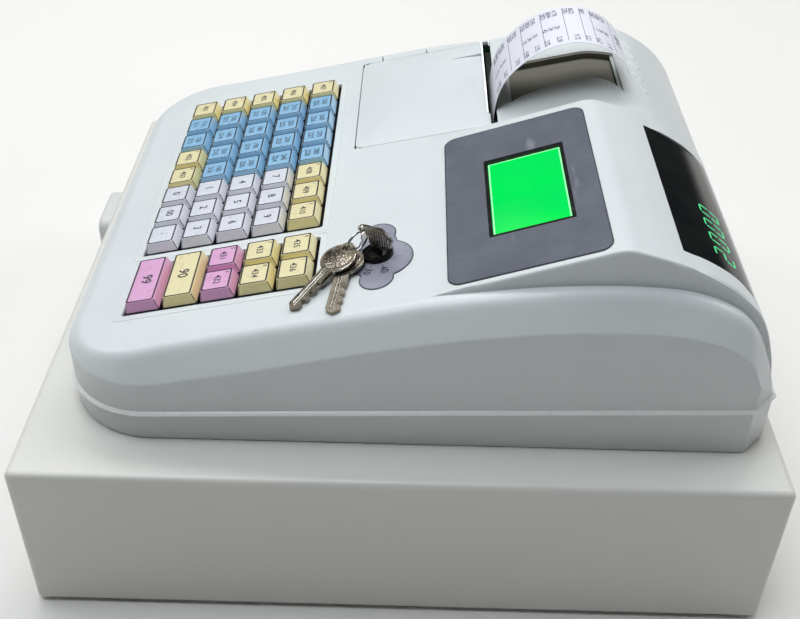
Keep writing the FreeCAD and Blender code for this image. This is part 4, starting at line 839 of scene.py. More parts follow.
# ------------------------------------------------------------------ bright bead along the joint of the case halves
trim_mat = plastic("trim_white", (0.93, 0.93, 0.92), 0.30, 1500.0, 0.06, 0.98, coat=0.2)
tp, tn = outline_ring()
tline = part_line(tp[:, 1], 0.0)
bead = [(0.15, 0.0), (1.35, 0.15), (1.75, 0.5), (1.72, 0.95), (1.45, 1.35), (0.9, 1.8), (0.2, 2.3), (-0.6, 2.7), (-0.7, 0.3)]
bead_v = np.concatenate([np.column_stack([tp + tn * a, tline + b]) for a, b in bead])
m = len(tp)
bead_f = [(k * m + i, k * m + (i + 1) % m, ((k + 1) % len(bead)) * m + (i + 1) % m, ((k + 1) % len(bead)) * m + i)
          for k in range(len(bead)) for i in range(m)]
new_object("case_trim", bead_v, bead_f, trim_mat, slot="case_lower_plastic")


# ------------------------------------------------------------------ paper cover
def solid_plate(outline, frame_fn, w0, w1, rnd=0.4, steps=3):
    """A plate with an outline and softened upper and lower edges."""
    o = np.asarray(outline, float)

    def ring(grow, w):
        nxt, prv = np.roll(o, -1, 0), np.roll(o, 1, 0)
        t = nxt - prv
        t /= np.linalg.norm(t, axis=1)[:, None]
        n = np.stack([t[:, 1], -t[:, 0]], -1)
        p = o + n * grow
        return frame_fn(p[:, 0], p[:, 1], w)
    rings = []
    for i in range(steps + 1):
        a = 0.5 * math.pi * i / steps
        rings.append(ring(-rnd * (1 - math.sin(a)), w0 + rnd * (1 - math.cos(a))))
    for i in range(steps + 1):
        a = 0.5 * math.pi * i / steps
        rings.append(ring(-rnd * (1 - math.cos(a)), w1 - rnd * (1 - math.sin(a))))
    return loft(rings)


def cover_outline():
    pts = []
    for cx, cy, r, a0 in ((COVER_R - 6.0, V0 + 6.0, 6.0, -90), (COVER_R - 1.0, V1 - 1.0, 1.0, 0),
                          (COVER_L + 1.0, V1 - 3.0, 1.0, 90), (COVER_L + 8.0, V0 + 8.0, 8.0, 180)):
        for i in range(9):
            a = math.radians(a0 + 90.0 * i / 8)
            pts.append((cx + r * math.cos(a), cy + r * math.sin(a)))
        if a0 == 0:
            pts += [(-35.9, V1), (-35.9, V1 - 2.05)]
    return np.array(pts)


cover = new_object("paper_door", *solid_plate(cover_outline(), deck, -2.5, 0.0, 0.35), case_mat, "paper_cover", 40,
                   node="paper_cover", slot="case_plastic")
wedge = [(-126.2, 27.5), (-113.0, V1 + 1), (-127.0, V1 + 1)]
wv = np.concatenate([deck(*np.array(wedge).T, 3.0), deck(*np.array(wedge).T, np.array([0.02, -1.9, -1.9]))])
boolean(cover, raw("finger_wedge", [(wv, [(2, 1, 0), (3, 4, 5), (0, 1, 4, 3), (1, 2, 5, 4), (2, 0, 3, 5)])]))
finish_mesh(cover, case_mat, 40)
under = []
for x in (-128.0, -34.0):
    under.append(solid_plate(rect(x, x + 2, V0 + 9, V0 + 81, 0.6, 3), deck, -5.0, -2.4, 0.3, 2))
under.append(tube([deck(COVER_L + 7, V0 + 1.25, -1.25), deck(COVER_R - 5, V0 + 1.25, -1.25)], 1.2, 14))
under.append(tube([deck(COVER_L - 2, V0 + 1.25, -1.25), deck(COVER_L + 9, V0 + 1.25, -1.25)], 0.8, 12))
under.append(tube([deck(COVER_R + 2, V0 + 1.25, -1.25), deck(COVER_R - 7, V0 + 1.25, -1.25)], 0.8, 12))
new_object("paper_door_ribs", *merge(under), case_mat, "paper_cover", slot="case_plastic")


# ------------------------------------------------------------------ keys
cap_colors = {
    "white": ((0.80, 0.81, 0.87), (0.74, 0.755, 0.83)),
    "yellow": ((0.86, 0.76, 0.38), (0.84, 0.76, 0.46)),
    "blue": ((0.33, 0.58, 0.80), (0.29, 0.54, 0.77)),
    "pink": ((0.76, 0.38, 0.64), (0.76, 0.42, 0.67)),
}
line_mat = Mat("key_gap_dark", (0.02, 0.02, 0.022), 0.5).vary((0.04, 0.04, 0.045), 500.0).grain(1500.0, 0.2, 0.00002)
ink_mat = Mat("ink", (0.025, 0.025, 0.035), 0.55).vary((0.06, 0.06, 0.075), 900.0, 0.5, 0.7).grain(2500.0, 0.1, 0.00001)
CAP = {}
for tone, (side, top) in cap_colors.items():
    a = plastic("key_" + tone + "_side", side, 0.20, 900.0, 0.04, 0.94, coat=0.5)
    b = plastic("key_" + tone + "_top", top, 0.30, 1200.0, 0.05, 0.95, coat=0.6)
    CAP[tone] = [a, line_mat, b]


def key_cap(u, v, wide):
    extra = 0.0 if wide == 1 else 22.9
    n = 4

    def at(w, inset=0.0, r=1.2):
        t = (w + 1.2) / 7.0
        su = 21.4 + (18.4 - 21.4) * t + extra - 2 * inset
        sv = 20.2 + (16.4 - 20.2) * t - 2 * inset
        o = rounded_rect(su, sv, max(r - inset * 0.5, 0.25), n)
        return deck(o[:, 0] + u, o[:, 1] + v, w)
    rings = [at(-1.2, 1.2), at(-1.2, 0.25), at(-0.95, 0.0), at(-0.2, 0.0), at(4.9, 0.0, 1.4), at(5.45, 0.05, 1.5),
             at(5.66, 0.18, 1.5), at(5.70, 0.26, 1.5), at(5.56, 0.32, 1.5), at(5.56, 1.14, 1.5), at(5.72, 1.22, 1.5), at(5.78, 1.6, 1.4)]
    m = len(rings[0])
    verts = np.concatenate(rings)
    faces = grid_faces(len(rings), m, wrap=True)
    tones = []
    for r in range(len(rings) - 1):
        for c in range(m):
            t = 0
            if r in (1, 2, 7, 8, 9):
                t = 1
            elif r == 10:
                t = 2
            elif r in (3, 4) and c % 5 == 2:
                t = 1
            tones.append(t)
    faces.append(tuple(range((len(rings) - 1) * m, len(rings) * m)))
    tones.append(2)
    faces.append(tuple(range(m - 1, -1, -1)))
    tones.append(1)
    out = [(verts, faces, tones)]
    for du in ((0,) if wide == 1 else (-11.45, 11.45)):
        sv, sf = loft([deck(*(rounded_rect(4, 4, 0.3, 2) + np.array([u + du, v])).T, -12.5),
                       deck(*(rounded_rect(4, 4, 0.3, 2) + np.array([u + du, v])).T, 2.0)])
        out.append((sv, sf, [0] * len(sf)))
    return out


def key_object(name, caps, tone, body, node, slot):
    parts, tones = [], []
    for u, v, wide in caps:
        for vv, ff, tt in key_cap(u, v, wide):
            parts.append((vv, ff))
            tones += tt
    verts, faces = merge(parts)
    ob = new_object(name, verts, faces, CAP[tone], body, 35, node=node, slot=slot)
    if len(ob.data.polygons) == len(tones):
        ob.data.polygons.foreach_set("material_index", tones)
    ob.data.update()
    return ob


GLYPH = {}


def glyphs(text):
    """Flat faces of a line of figures, one unit high, about its middle."""
    if text not in GLYPH:
        cu = bpy.data.curves.new("figures", "FONT")
        cu.body = text
        cu.size = 1.0
        cu.align_x = "CENTER"
        cu.align_y = "CENTER"
        cu.resolution_u = 3
        cu.offset = 0.016
        ob = bpy.data.objects.new("figures", cu)
        COL.objects.link(ob)
        dg = bpy.context.evaluated_depsgraph_get()
        me = bpy.data.meshes.new_from_object(ob.evaluated_get(dg))
        v = np.array([p.co[:] for p in me.vertices]).reshape(-1, 3)
        f = [tuple(p.vertices) for p in me.polygons]
        bpy.data.objects.remove(ob)
        bpy.data.meshes.remove(me)
        GLYPH[text] = (v, f)
    return GLYPH[text]


def print_on(text, size, fn, du=0.0, dv=0.0, turn=0.0):
    v, f = glyphs(text)
    x, y = v[:, 0] * size, v[:, 1] * size
    c, s = math.cos(turn), math.sin(turn)
    return fn(x * c - y * s + du, x * s + y * c + dv), f


PU, PV, V_FIRST, U_LAST = 22.9, 21.7, -148.3, 53.5
NAMES = {(0, 5): "key_0", (0, 6): "key_00", (0, 7): "key_point", (1, 5): "key_1", (1, 6): "key_2", (1, 7): "key_3",
         (2, 5): "key_4", (2, 6): "key_5", (2, 7): "key_6", (3, 5): "key_7", (3, 6): "key_8", (3, 7): "key_9",
         (0, 8): "key_wide_front", (1, 8): "key_wide_rear", (2, 8): "key_side_a", (2, 9): "key_side_b",
         (3, 8): "key_side_c", (3, 9): "key_side_d", (4, 8): "key_side_e", (4, 9): "key_side_f"}
BLUE = {(0, 1), (0, 2)} | {(r, c) for r in (1, 2, 3, 4) for c in (1, 2, 3, 4)}
FIGURE = {"key_0": "0", "key_00": "00", "key_point": "."}
caps = {}
for r in range(5):
    v = V_FIRST + r * PV
    for c in range(8):
        name = NAMES.get((r, c)) or ("blue_keys" if (r, c) in BLUE else "yellow_keys")
        caps.setdefault(name, []).append((U_LAST - (7 - c) * PU, v, 1))
    if r < 2:
        caps.setdefault(NAMES[(r, 8)], []).append((KR + PU / 2, v, 2))
    else:
        for c in (8, 9):
            caps.setdefault(NAMES[(r, c)], []).append((KR + (c - 8) * PU, v, 1))
slot_of = {p["node"]: p["material_slot"] for p in frame["record"]["subparts"]}
number = 1
for name, group in caps.items():
    tone = slot_of[name].split("_")[1]
    key_object(name + "_caps", group, tone, name, name, slot_of[name])
    marks = []
    for u, v, wide in group:
        def top(x, y, u=u, v=v):
            return deck(u + x, v + y, 5.80)
        if tone == "white":
            text = FIGURE.get(name, name.split("_")[1])
            marks.append(print_on(text, 6.8 if len(text) == 1 else 6.4, top, 0.0, 0.2 if text != "." else 1.6))
        elif wide == 2:
            marks.append(print_on(str(90 + number % 10), 8.4, top))
            number += 1
        elif tone == "blue":
            marks.append(print_on(str(number) + "0", 5.0, top, 0.0, 3.0))
            marks.append(print_on(str(number + 200), 5.0, top, 0.0, -2.9))
            number += 1
        else:
            marks.append(print_on(str(400 + number % 50), 5.4, top, 0.0, 0.2))
            marks.append(print_on(str(number % 9 + 1), 3.2, top, -6.0, 5.2))
            number += 1
    new_object(name + "_figures", *merge(marks), ink_mat, name, slot=slot_of[name])


# ------------------------------------------------------------------ displays
label_mat = Mat("label_grey", (0.125, 0.135, 0.165), 0.34, ior=1.35)
# The second, stretched lighter blend is a painted highlight: streaks of light on the clear protective film over the
# label.
label_mat.vary((0.145, 0.155, 0.188), 26.0).vary((0.24, 0.25, 0.28), 34.0, 0.68, 0.76, 2.0, (0.5, 2.6, 1.0))
label_mat.gloss(60.0, 0.20, 0.36).grain(40.0, 0.10, 0.0008, 2.0, (0.4, 2.2, 1.0)).grain(1800.0, 0.06, 0.00002)
outline_mat = Mat("label_outline", (0.03, 0.03, 0.04), 0.4).vary((0.05, 0.05, 0.06), 300.0).grain(1500.0, 0.1, 0.00002)
bezel_mat = plastic("bezel_black", (0.008, 0.008, 0.008), 0.22, 1200.0, 0.05, 1.6, coat=0.3)
glass_mat = Mat("window_black", (0.004, 0.0045, 0.005), 0.07, ior=1.22)
glass_mat.vary((0.009, 0.010, 0.010), 40.0).gloss(30.0, 0.05, 0.10).grain(26.0, 0.05, 0.0003)
lab = rect(-7.0, 145.5, (22.5 - 20) / CP, (105.0 - 20) / CP, 7.5, 10)
hole = rect(30.0, 110.5, S0, S1, 0.5, 10)


def frame_plate(outer, inner, w0, w1):
    """A flat plate between two outlines of equal point count."""
    rings = [pod(*inner.T, w0), pod(*outer.T, w0), pod(*outer.T, w1 - 0.15), pod(*(outer * 0.9985 + outer.mean(0) * 0.0015).T, w1), pod(*inner.T, w1)]
    m = len(outer)
    verts = np.concatenate(rings)
    faces = grid_faces(5, m, wrap=True)
    faces += [(4 * m + i, 4 * m + (i + 1) % m, (i + 1) % m, i) for i in range(m)]
    return verts, faces


def grown(o, g):
    nxt, prv = np.roll(o, -1, 0), np.roll(o, 1, 0)
    t = nxt - prv
    t /= np.linalg.norm(t, axis=1)[:, None]
    return o + np.stack([t[:, 1], -t[:, 0]], -1) * g


new_object("pod_label", *frame_plate(grown(lab, -0.55), hole, 0.0, 0.6), label_mat, smooth=30, node="display_label", slot="label_sheet")
new_object("pod_label_edge", *frame_plate(lab, grown(lab, -0.5), 0.0, 0.58), outline_mat, smooth=30, slot="label_sheet")

lcd_mat = Mat("screen_green", (0.0, 0.06, 0.02), 0.3, ior=1.15)
lcd_mat.gloss(45.0, 0.18, 0.34).grain(30.0, 0.05, 0.0004)
arc = lcd_mat.noise(14.0, 1.0, (1.0, 0.35, 1.0))
glow_color = lcd_mat.mix(lcd_mat.ramp(arc.outputs["Fac"], 0.42, 0.60, 0.0, 1.0), (0.0, 0.90, 0.085), (0.0, 0.80, 0.105))
lcd_mat.link(glow_color, lcd_mat.b.inputs["Emission Color"])
lcd_mat.b.inputs["Emission Strength"].default_value = 0.95
lcd_rim_mat = Mat("screen_rim", (0.35, 0.9, 0.45), 0.3).vary((0.5, 0.95, 0.6), 120.0)
lcd_rim_mat.glow((0.35, 1.0, 0.42), 0.55)
scr = rect(33.2, 108.2, S0 + 2.4, S1 - 2.4, 0.3, 3)
new_object("screen_face", *solid_plate(scr, pod, -1.0, -0.8, 0.08, 2), lcd_mat, slot="screen")
rim = grown(scr, -0.05)
rim_in = grown(scr, -0.75)
new_object("screen_rim", *frame_plate(rim, rim_in, -0.82, -0.7), lcd_rim_mat, slot="screen")


def on_pod_back(x, y, lift):
    x, y = np.broadcast_arrays(np.asarray(x, float), np.asarray(y, float))
    z = f_pod(y)
    g = (f_pod(y + 0.3) - f_pod(y - 0.3)) / 0.6
    n = np.sqrt(1 + g * g)
    return np.stack([x, y - g / n * lift, z + lift / n], -1)


# Customer window: one smooth glossy pane that carries on the pod's back slope.
wx = np.linspace(0.5, 133.5, 24)
wy = np.linspace(142.5, 183.5, 30)
X, Y = np.meshgrid(wx, wy)
top_s = on_pod_back(X, Y, 0.12).reshape(-1, 3)
low_s = on_pod_back(X, Y, -2.2).reshape(-1, 3)
R_, C_ = X.shape
faces = grid_faces(R_, C_) + grid_faces(R_, C_, start=R_ * C_, flip=True)
lp = loop_of(R_, C_)
for i in range(len(lp)):
    a, b = lp[i], lp[(i + 1) % len(lp)]
    faces.append((a, b, b + R_ * C_, a + R_ * C_))
new_object("customer_pane", np.concatenate([top_s, low_s]), faces, glass_mat, smooth=40, node="customer_window", slot="dark_window")

SEGMENTS = {"0": "abcdef", "1": "bc", "2": "abged", "3": "abgcd", "4": "fgbc", "5": "afgcd", "6": "afgedc", "7": "abc",
            "8": "abcdefg", "9": "abcdfg"}


def segment_digit(ch, w, h, t, slant=0.12):
    """Flat outlines of one seven-bar figure about its middle."""
    a = h / 2
    g = 0.35
    bars = {"a": ((-w / 2, a), (w / 2, a)), "g": ((-w / 2, 0), (w / 2, 0)), "d": ((-w / 2, -a), (w / 2, -a)),
            "f": ((-w / 2, a), (-w / 2, 0)), "b": ((w / 2, a), (w / 2, 0)),
            "e": ((-w / 2, 0), (-w / 2, -a)), "c": ((w / 2, 0), (w / 2, -a))}
    out = []
    for s in SEGMENTS[ch]:
        p, q_ = np.array(bars[s][0], float), np.array(bars[s][1], float)
        d = (q_ - p) / np.linalg.norm(q_ - p)
        n = np.array([-d[1], d[0]])
        p, q_ = p + d * g, q_ - d * g
        pts = np.array([p, p + d * t / 2 + n * t / 2, q_ - d * t / 2 + n * t / 2, q_, q_ - d * t / 2 - n * t / 2, p + d * t / 2 - n * t / 2])
        pts[:, 0] += pts[:, 1] * slant
        out.append(pts)
    return out


digit_mat = Mat("digit_green", (0.05, 0.5, 0.2), 0.4).vary((0.1, 0.6, 0.25), 200.0)
digit_mat.glow((0.04, 0.62, 0.20), 0.75)
seg_parts = []
arc_y = np.linspace(150, 183, 60)
arc_len = np.concatenate([[0], np.cumsum(np.hypot(np.diff(arc_y), np.diff(f_pod(arc_y))))])
for i, ch in enumerate("2000"):
    for pts in segment_digit(ch, 7.4, 14.0, 1.2):
        x = 116.0 - i * 14.0 - pts[:, 0]
        s = 23.5 - pts[:, 1]
        y = np.interp(s, arc_len, arc_y)
        v = on_pod_back(x, y, 0.2)
        seg_parts.append((v, [tuple(range(len(v)))]))
new_object("customer_figures", *merge(seg_parts), digit_mat, slot="dark_window")


# ------------------------------------------------------------------ receipt
ARCH = [(54.5, 190), (54.7, 200), (55.6, 209), (60, 222.5), (69.5, 234.2), (82, 243.8), (93.5, 248.6), (105.5, 250.2),
        (117, 248), (128, 241.8), (134.5, 235.4), (137.6, 229)]
arch = np.array(ARCH, float)
arch_s = np.concatenate([[0], np.cumsum(np.linalg.norm(np.diff(arch, axis=0), axis=1))])
arch_y, arch_z = hermite(list(zip(arch_s, arch[:, 0]))), hermite(list(zip(arch_s, arch[:, 1])))
ARCH_END = float(arch_s[-1])


def slip(x, s, lift=0.0):
    """A point of the printed slip: across, along from the tear bar, and off its outer face."""
    x, s = np.broadcast_arrays(np.asarray(x, float), np.asarray(s, float))
    y, z = arch_y(s), arch_z(s)
    ty, tz = arch_y(s + 0.2) - arch_y(s - 0.2), arch_z(s + 0.2) - arch_z(s - 0.2)
    n = np.sqrt(ty * ty + tz * tz)
    return np.stack([x, y - tz / n * lift, z + ty / n * lift], -1)


paper_mat = Mat("paper", (0.80, 0.80, 0.87), 0.62)
paper_mat.vary((0.77, 0.77, 0.85), 20.0).gloss(90.0, 0.5, 0.7).grain(900.0, 0.25, 0.00003, 4.0)
# The slip's underside is dark warm grey as painted shade for the shadow beneath the arched slip.
paper_back_painted_shade_mat = Mat("paper_back_painted_shade", (0.36, 0.35, 0.30), 0.75).vary((0.31, 0.30, 0.26), 18.0).grain(900.0, 0.25, 0.00003, 4.0)
faint_ink_mat = Mat("slip_ink", (0.05, 0.05, 0.11), 0.6).vary((0.14, 0.14, 0.22), 400.0, 0.4, 0.6).grain(2500.0, 0.1, 0.00001)
sx = np.linspace(-95.0, -38.0, 10)
ss = np.linspace(0.0, ARCH_END, 90)
SX, SS = np.meshgrid(sx, ss)
outer = slip(SX, SS, 0.10).reshape(-1, 3)
inner = slip(SX, SS, -0.10).reshape(-1, 3)
R_, C_ = SX.shape
faces = grid_faces(R_, C_) + grid_faces(R_, C_, start=R_ * C_, flip=True)
tones = [0] * ((R_ - 1) * (C_ - 1)) + [1] * ((R_ - 1) * (C_ - 1))
lp = loop_of(R_, C_)
for i in range(len(lp)):
    a, b = lp[i], lp[(i + 1) % len(lp)]
    faces.append((a, b, b + R_ * C_, a + R_ * C_))
    tones.append(0)
receipt = new_object("printed_slip", np.concatenate([outer, inner]), faces, [paper_mat, paper_back_painted_shade_mat], smooth=60,
                     node="receipt_paper", slot="ticket_paper")
if len(receipt.data.polygons) == len(tones):
    receipt.data.polygons.foreach_set("material_index", tones)


def figures_row(text, x, s, size, anchor=0.0):
    v, f = glyphs(text)
    w = (v[:, 0].max() - v[:, 0].min()) * size
    return slip(v[:, 0] * size + x + anchor * w / 2, v[:, 1] * size + s, 0.13), f


slip_marks = []


def rule(s):
    xs_ = np.linspace(-91.5, -41.5, 3)
    slip_marks.append((np.concatenate([slip(xs_, s - 0.17, 0.13), slip(xs_, s + 0.17, 0.13)]),
                       [(i, i + 1, i + 4, i + 3) for i in range(2)]))


# Rows from the tear bar on: three columns of plain figures, with ruled lines between the groups.
seed = 7
s = ARCH_END - 10.0
slip_marks.append(figures_row("00 01", -66.5, s, 8.6))
s -= 7.2
for group in (3, 1, 2, 3, 3, 2, 4):
    rule(s + 1.6)
    for k in range(group):
        s -= 3.9
        if s < 9:
            break
        seed = (seed * 37 + 11) % 9973
        slip_marks.append(figures_row(str(seed % 8999 + 1000), -91.0, s, 4.6, 1.0))
        if k != 1:
            slip_marks.append(figures_row(str(seed % 9 + 1) + "." + str(seed % 90 + 10), -42.0, s, 4.6, -1.0))
        if group > 2:
            slip_marks.append(figures_row(str(seed % 40 + 10), -64.0, s, 4.6))
    s -= 3.1
new_object("slip_figures", *merge(slip_marks), faint_ink_mat, slot="ticket_paper")


# Dark floor of the paper slot, just under the edge of the hood.
new_object("slot_throat", *solid_plate(rect(-143.0, -21.5, 52.8, 60.5, 1.0, 3), deck, -8.6, -7.2, 0.3, 2), bed_mat,
           slot="key_bed_plastic")


# ------------------------------------------------------------------ mode lock
LU, LV = 104.6, -15.0
plate_mat = Mat("plate_lilac", (0.27, 0.275, 0.34), 0.34, coat=0.3)
plate_mat.vary((0.33, 0.335, 0.40), 60.0).gloss(140.0, 0.26, 0.40).grain(1500.0, 0.1, 0.00002).grain(30.0, 0.05, 0.0004)
barrel_mat = Mat("barrel_black", (0.004, 0.004, 0.0045), 0.16, ior=1.3).vary((0.008, 0.008, 0.008), 300.0).grain(500.0, 0.06, 0.00003)
key_mat = metal("key_bronze", (0.29, 0.255, 0.20), 0.30, None, 900.0, 0.05, 0.72, 120.0)
key_edge_mat = metal("key_bright", (0.66, 0.63, 0.57), 0.22, None, 900.0, 0.05, 0.6, 160.0)
key_rough_mat = metal("key_stippled", (0.17, 0.145, 0.11), 0.34, None, 900.0, 0.2, 0.6, 500.0)
key_rough_mat.vary((0.62, 0.58, 0.50), 900.0, 0.56, 0.64, 1.0).grain(700.0, 0.5, 0.0002, 1.0)
ring_mat = metal("ring_chrome", (0.66, 0.66, 0.64), 0.16, None, 700.0, 0.06, 0.7, 90.0)
# Near-black plug material: the plug's own black, and on the key's neck painted shade.
black_plug_and_shaded_neck_mat = Mat("plug_dark", (0.008, 0.007, 0.006), 0.3, metallic=0.2).vary((0.02, 0.018, 0.015), 300.0).grain(1200.0, 0.1, 0.00002)

PLATE = [(74, -14.6), (75.6, -10.2), (80.7, -7.5), (84.6, -7.6), (87.5, -6.3), (90.5, -1.6), (95.2, 1.6), (100.2, 4.0),
         (105.8, 5), (113.0, 4.2), (119.4, 1.4), (122.8, -2.2), (125.6, -6.4), (129.6, -6.2), (133.4, -7.6),
         (136.2, -11.2), (136.1, -15.9), (132.4, -21.6), (126.8, -23.7), (123.3, -24.3), (119.8, -29.0), (115.6, -31.3),
         (113.6, -32.5), (107.6, -34.3), (101.2, -33.6), (96.6, -30.4), (93.6, -26.2), (89.0, -25.0), (84.0, -25.6),
         (78.2, -23.6), (74.6, -19.4)]


def smooth_loop(points, per=6):
    p = np.array(points, float)
    m = len(p)
    out = []
    for i in range(m):
        a, b, c, d = p[(i - 1) % m], p[i], p[(i + 1) % m], p[(i + 2) % m]
        for k in range(per):
            t = k / per
            out.append(0.5 * (2 * b + (c - a) * t + (2 * a - 5 * b + 4 * c - d) * t * t + (3 * b - a - 3 * c + d) * t ** 3))
    return np.array(out)


LOBES = [(104.6, -15.0, 15.0), (84.2, -15.5, 10.2), (94.0, -15.5, 11.0), (108.8, -12.6, 17.4), (126.4, -15.2, 9.6),
         (106.5, -22.0, 12.6)]


def lobe_outline(grow=0.0, n=220):
    """Outer edge of the overlapping discs, seen from the middle of the plate."""
    c0 = np.array([104.6, -15.0])
    ang = np.arange(n) * 2 * math.pi / n
    d = np.stack([np.cos(ang), np.sin(ang)], -1)
    best = np.zeros(n)
    for a, b, r in LOBES:
        m = np.array([a, b]) - c0
        bq = d @ m
        disc = bq * bq - (m @ m - (r + grow) ** 2)
        hit = np.where(disc > 0, bq + np.sqrt(np.maximum(disc, 0)), 0)
        best = np.maximum(best, hit)
    return c0 + d * best[:, None]


def flat_ring(outer_o, inner_o, frame_fn, w0, w1):
    rings = [frame_fn(*inner_o.T, w0), frame_fn(*outer_o.T, w0), frame_fn(*outer_o.T, w1), frame_fn(*inner_o.T, w1)]
    m = len(outer_o)
    return np.concatenate(rings), grid_faces(4, m, wrap=True) + [
        (3 * m + i, 3 * m + (i + 1) % m, (i + 1) % m, i) for i in range(m)]


plate_rim = flat_ring(lobe_outline(0.0), lobe_outline(-0.55), deck, 0.02, 0.55)
new_object("plate_outline", *plate_rim, outline_mat, slot="plate_sheet")
marks = []
for k, deg in enumerate((-128, -92, -56, -20, 14)):
    a = math.radians(deg)
    c = (LU + 11.2 * math.cos(a), LV + 11.2 * math.sin(a))
    o = circle(c[0], c[1], 0.55, 10)
    marks.append((deck(*o.T, 0.56), [tuple(range(10))]))
    c = (LU + 15.4 * math.cos(a), LV + 15.4 * math.sin(a))
    marks.append(print_on(str(k * 10), 6.0, lambda x, y, c=c: deck(c[0] + x, c[1] + y, 0.56), 0, 0, a))
new_object("plate_figures", *merge(marks), ink_mat, slot="plate_sheet")

# A raised lip round the barrel and the dark face of the plug.
lip = []
for r0, r1, w0, w1 in ((8.7, 8.2, 2.3, 2.75), (8.2, 6.1, 2.75, 2.35)):
    lip.append(flat_ring(circle(LU, LV, r0, 48), circle(LU, LV, r1, 48), deck, w0, w1))
new_object("barrel_lip", *merge([flat_ring(circle(LU, LV, 8.72, 60), circle(LU, LV, 7.9, 60), deck, 2.2, 2.9)]), barrel_mat,
           slot="barrel_black")
new_object("plug_face", *solid_plate(circle(LU, LV, 5.3, 40), deck, 1.4, 1.62, 0.08, 2), black_plug_and_shaded_neck_mat, "mode_key", slot="key_metal")

C45 = math.sqrt(0.5)


def turned(a, y, b):
    a, y, b = np.broadcast_arrays(np.asarray(a, float), np.asarray(y, float), np.asarray(b, float))
    return deck(LU + (a - y) * C45, LV + (a + y) * C45, b)


bow_ribs = []
BOW = np.array([(-6.1, 17.8), (9.4, 20.2), (16.0, 14.9), (12.7, 10.0), (3.6, 6.8), (-3.2, 5.3), (-4.6, 11.2), (-6.0, 13.7)])


def span(a, slope):
    """Where the slanting line w = (x - a) / slope crosses the bow's outline."""
    hits = []
    for i in range(len(BOW)):
        p, q_ = BOW[i], BOW[(i + 1) % len(BOW)]
        fp, fq = p[0] - a - slope * p[1], q_[0] - a - slope * q_[1]
        if fp * fq < 0:
            hits.append(p + (q_ - p) * fp / (fp - fq))
    return hits


for a in np.arange(-9.0, 15.0, 1.9):
    h = span(a, 0.22)
    if len(h) == 2:
        p, q_ = h
        d = (q_ - p) / np.linalg.norm(q_ - p)
        if np.linalg.norm(q_ - p) < 4:
            continue
        p, q_ = p + d * 1.3, q_ - d * 1.3
        for side in (-1, 1):
            bow_ribs.append(tube([turned(p[0], side * 0.72, p[1]), turned((p[0] + q_[0]) / 2, side * 0.72, (p[1] + q_[1]) / 2),
                                  turned(q_[0], side * 0.72, q_[1])], 0.48, 8))
edge = [turned(a, 0, b) for a, b in BOW]
new_object("mode_key_ribs", *merge(bow_ribs), key_edge_mat, "mode_key", slot="key_metal")
new_object("mode_key_edge", *tube([edge[i] for i in range(5)], 0.95, 8), key_edge_mat, "mode_key", slot="key_metal")


def turned_plate(a, b, y):
    return turned(a, y, b)


mode = new_object("mode_key_bow", *solid_plate(BOW[::-1] if np.cross(BOW[1] - BOW[0], BOW[2] - BOW[1]) < 0 else BOW,
                                               turned_plate, -0.9, 0.9, 0.25, 2), key_mat, "mode_key", 35,
                  node="mode_key", slot="key_metal")
lug_ring = []
for r_, z_ in ((2.2, -0.9), (3.3, -0.9), (3.3, 0.9), (2.2, 0.9)):
    ang_ = np.arange(28) * 2 * math.pi / 28
    lug_ring.append(turned(-7.9 + r_ * np.cos(ang_), z_, 14.17 + r_ * np.sin(ang_)))
lug_v = np.concatenate(lug_ring)
lug_f = grid_faces(4, 28, wrap=True) + [(84 + i, 84 + (i + 1) % 28, (i + 1) % 28, i) for i in range(28)]
new_object("mode_key_lug", lug_v, lug_f, key_edge_mat, "mode_key", slot="key_metal")
blade_o = rect(-3.6, 3.6, 1.0, 8.2, 0.4, 3)
# The key's neck takes the near-black plug material as painted shade under the bow.
new_object("mode_key_blade", *solid_plate(blade_o, turned_plate, -0.85, 0.85, 0.2, 2), black_plug_and_shaded_neck_mat, "mode_key", slot="key_metal")
new_object("mode_key_plug", *merge([loft([deck(*circle(LU, LV, 5.38, 40).T, -19.0), deck(*circle(LU, LV, 5.38, 40).T, 1.45)]),
                                    solid_plate(rect(LU - 3, LU + 11, LV - 3, LV + 3, 0.6, 3), deck, -22.5, -20.0, 0.3, 2),
                                    loft([deck(*circle(LU, LV, 3.0, 24).T, -20.5), deck(*circle(LU, LV, 3.0, 24).T, -18.5)])]),
           black_plug_and_shaded_neck_mat, "mode_key", slot="key_metal")


def spare_frame(tail, tip):
    tail, tip = np.array(tail, float), np.array(tip, float)
    d = tip - tail
    ex = d / np.linalg.norm(d)
    ey = np.cross([0, 0, 1.0], ex)
    ey /= np.linalg.norm(ey)
    ez = np.cross(ex, ey)

    def at(x, y, z):
        x, y, z = np.broadcast_arrays(np.asarray(x, float), np.asarray(y, float), np.asarray(z, float))
        p = tail + x[..., None] * ex + y[..., None] * ey + z[..., None] * ez
        return deck(p[..., 0], p[..., 1], p[..., 2])
    return at, float(np.linalg.norm(d))


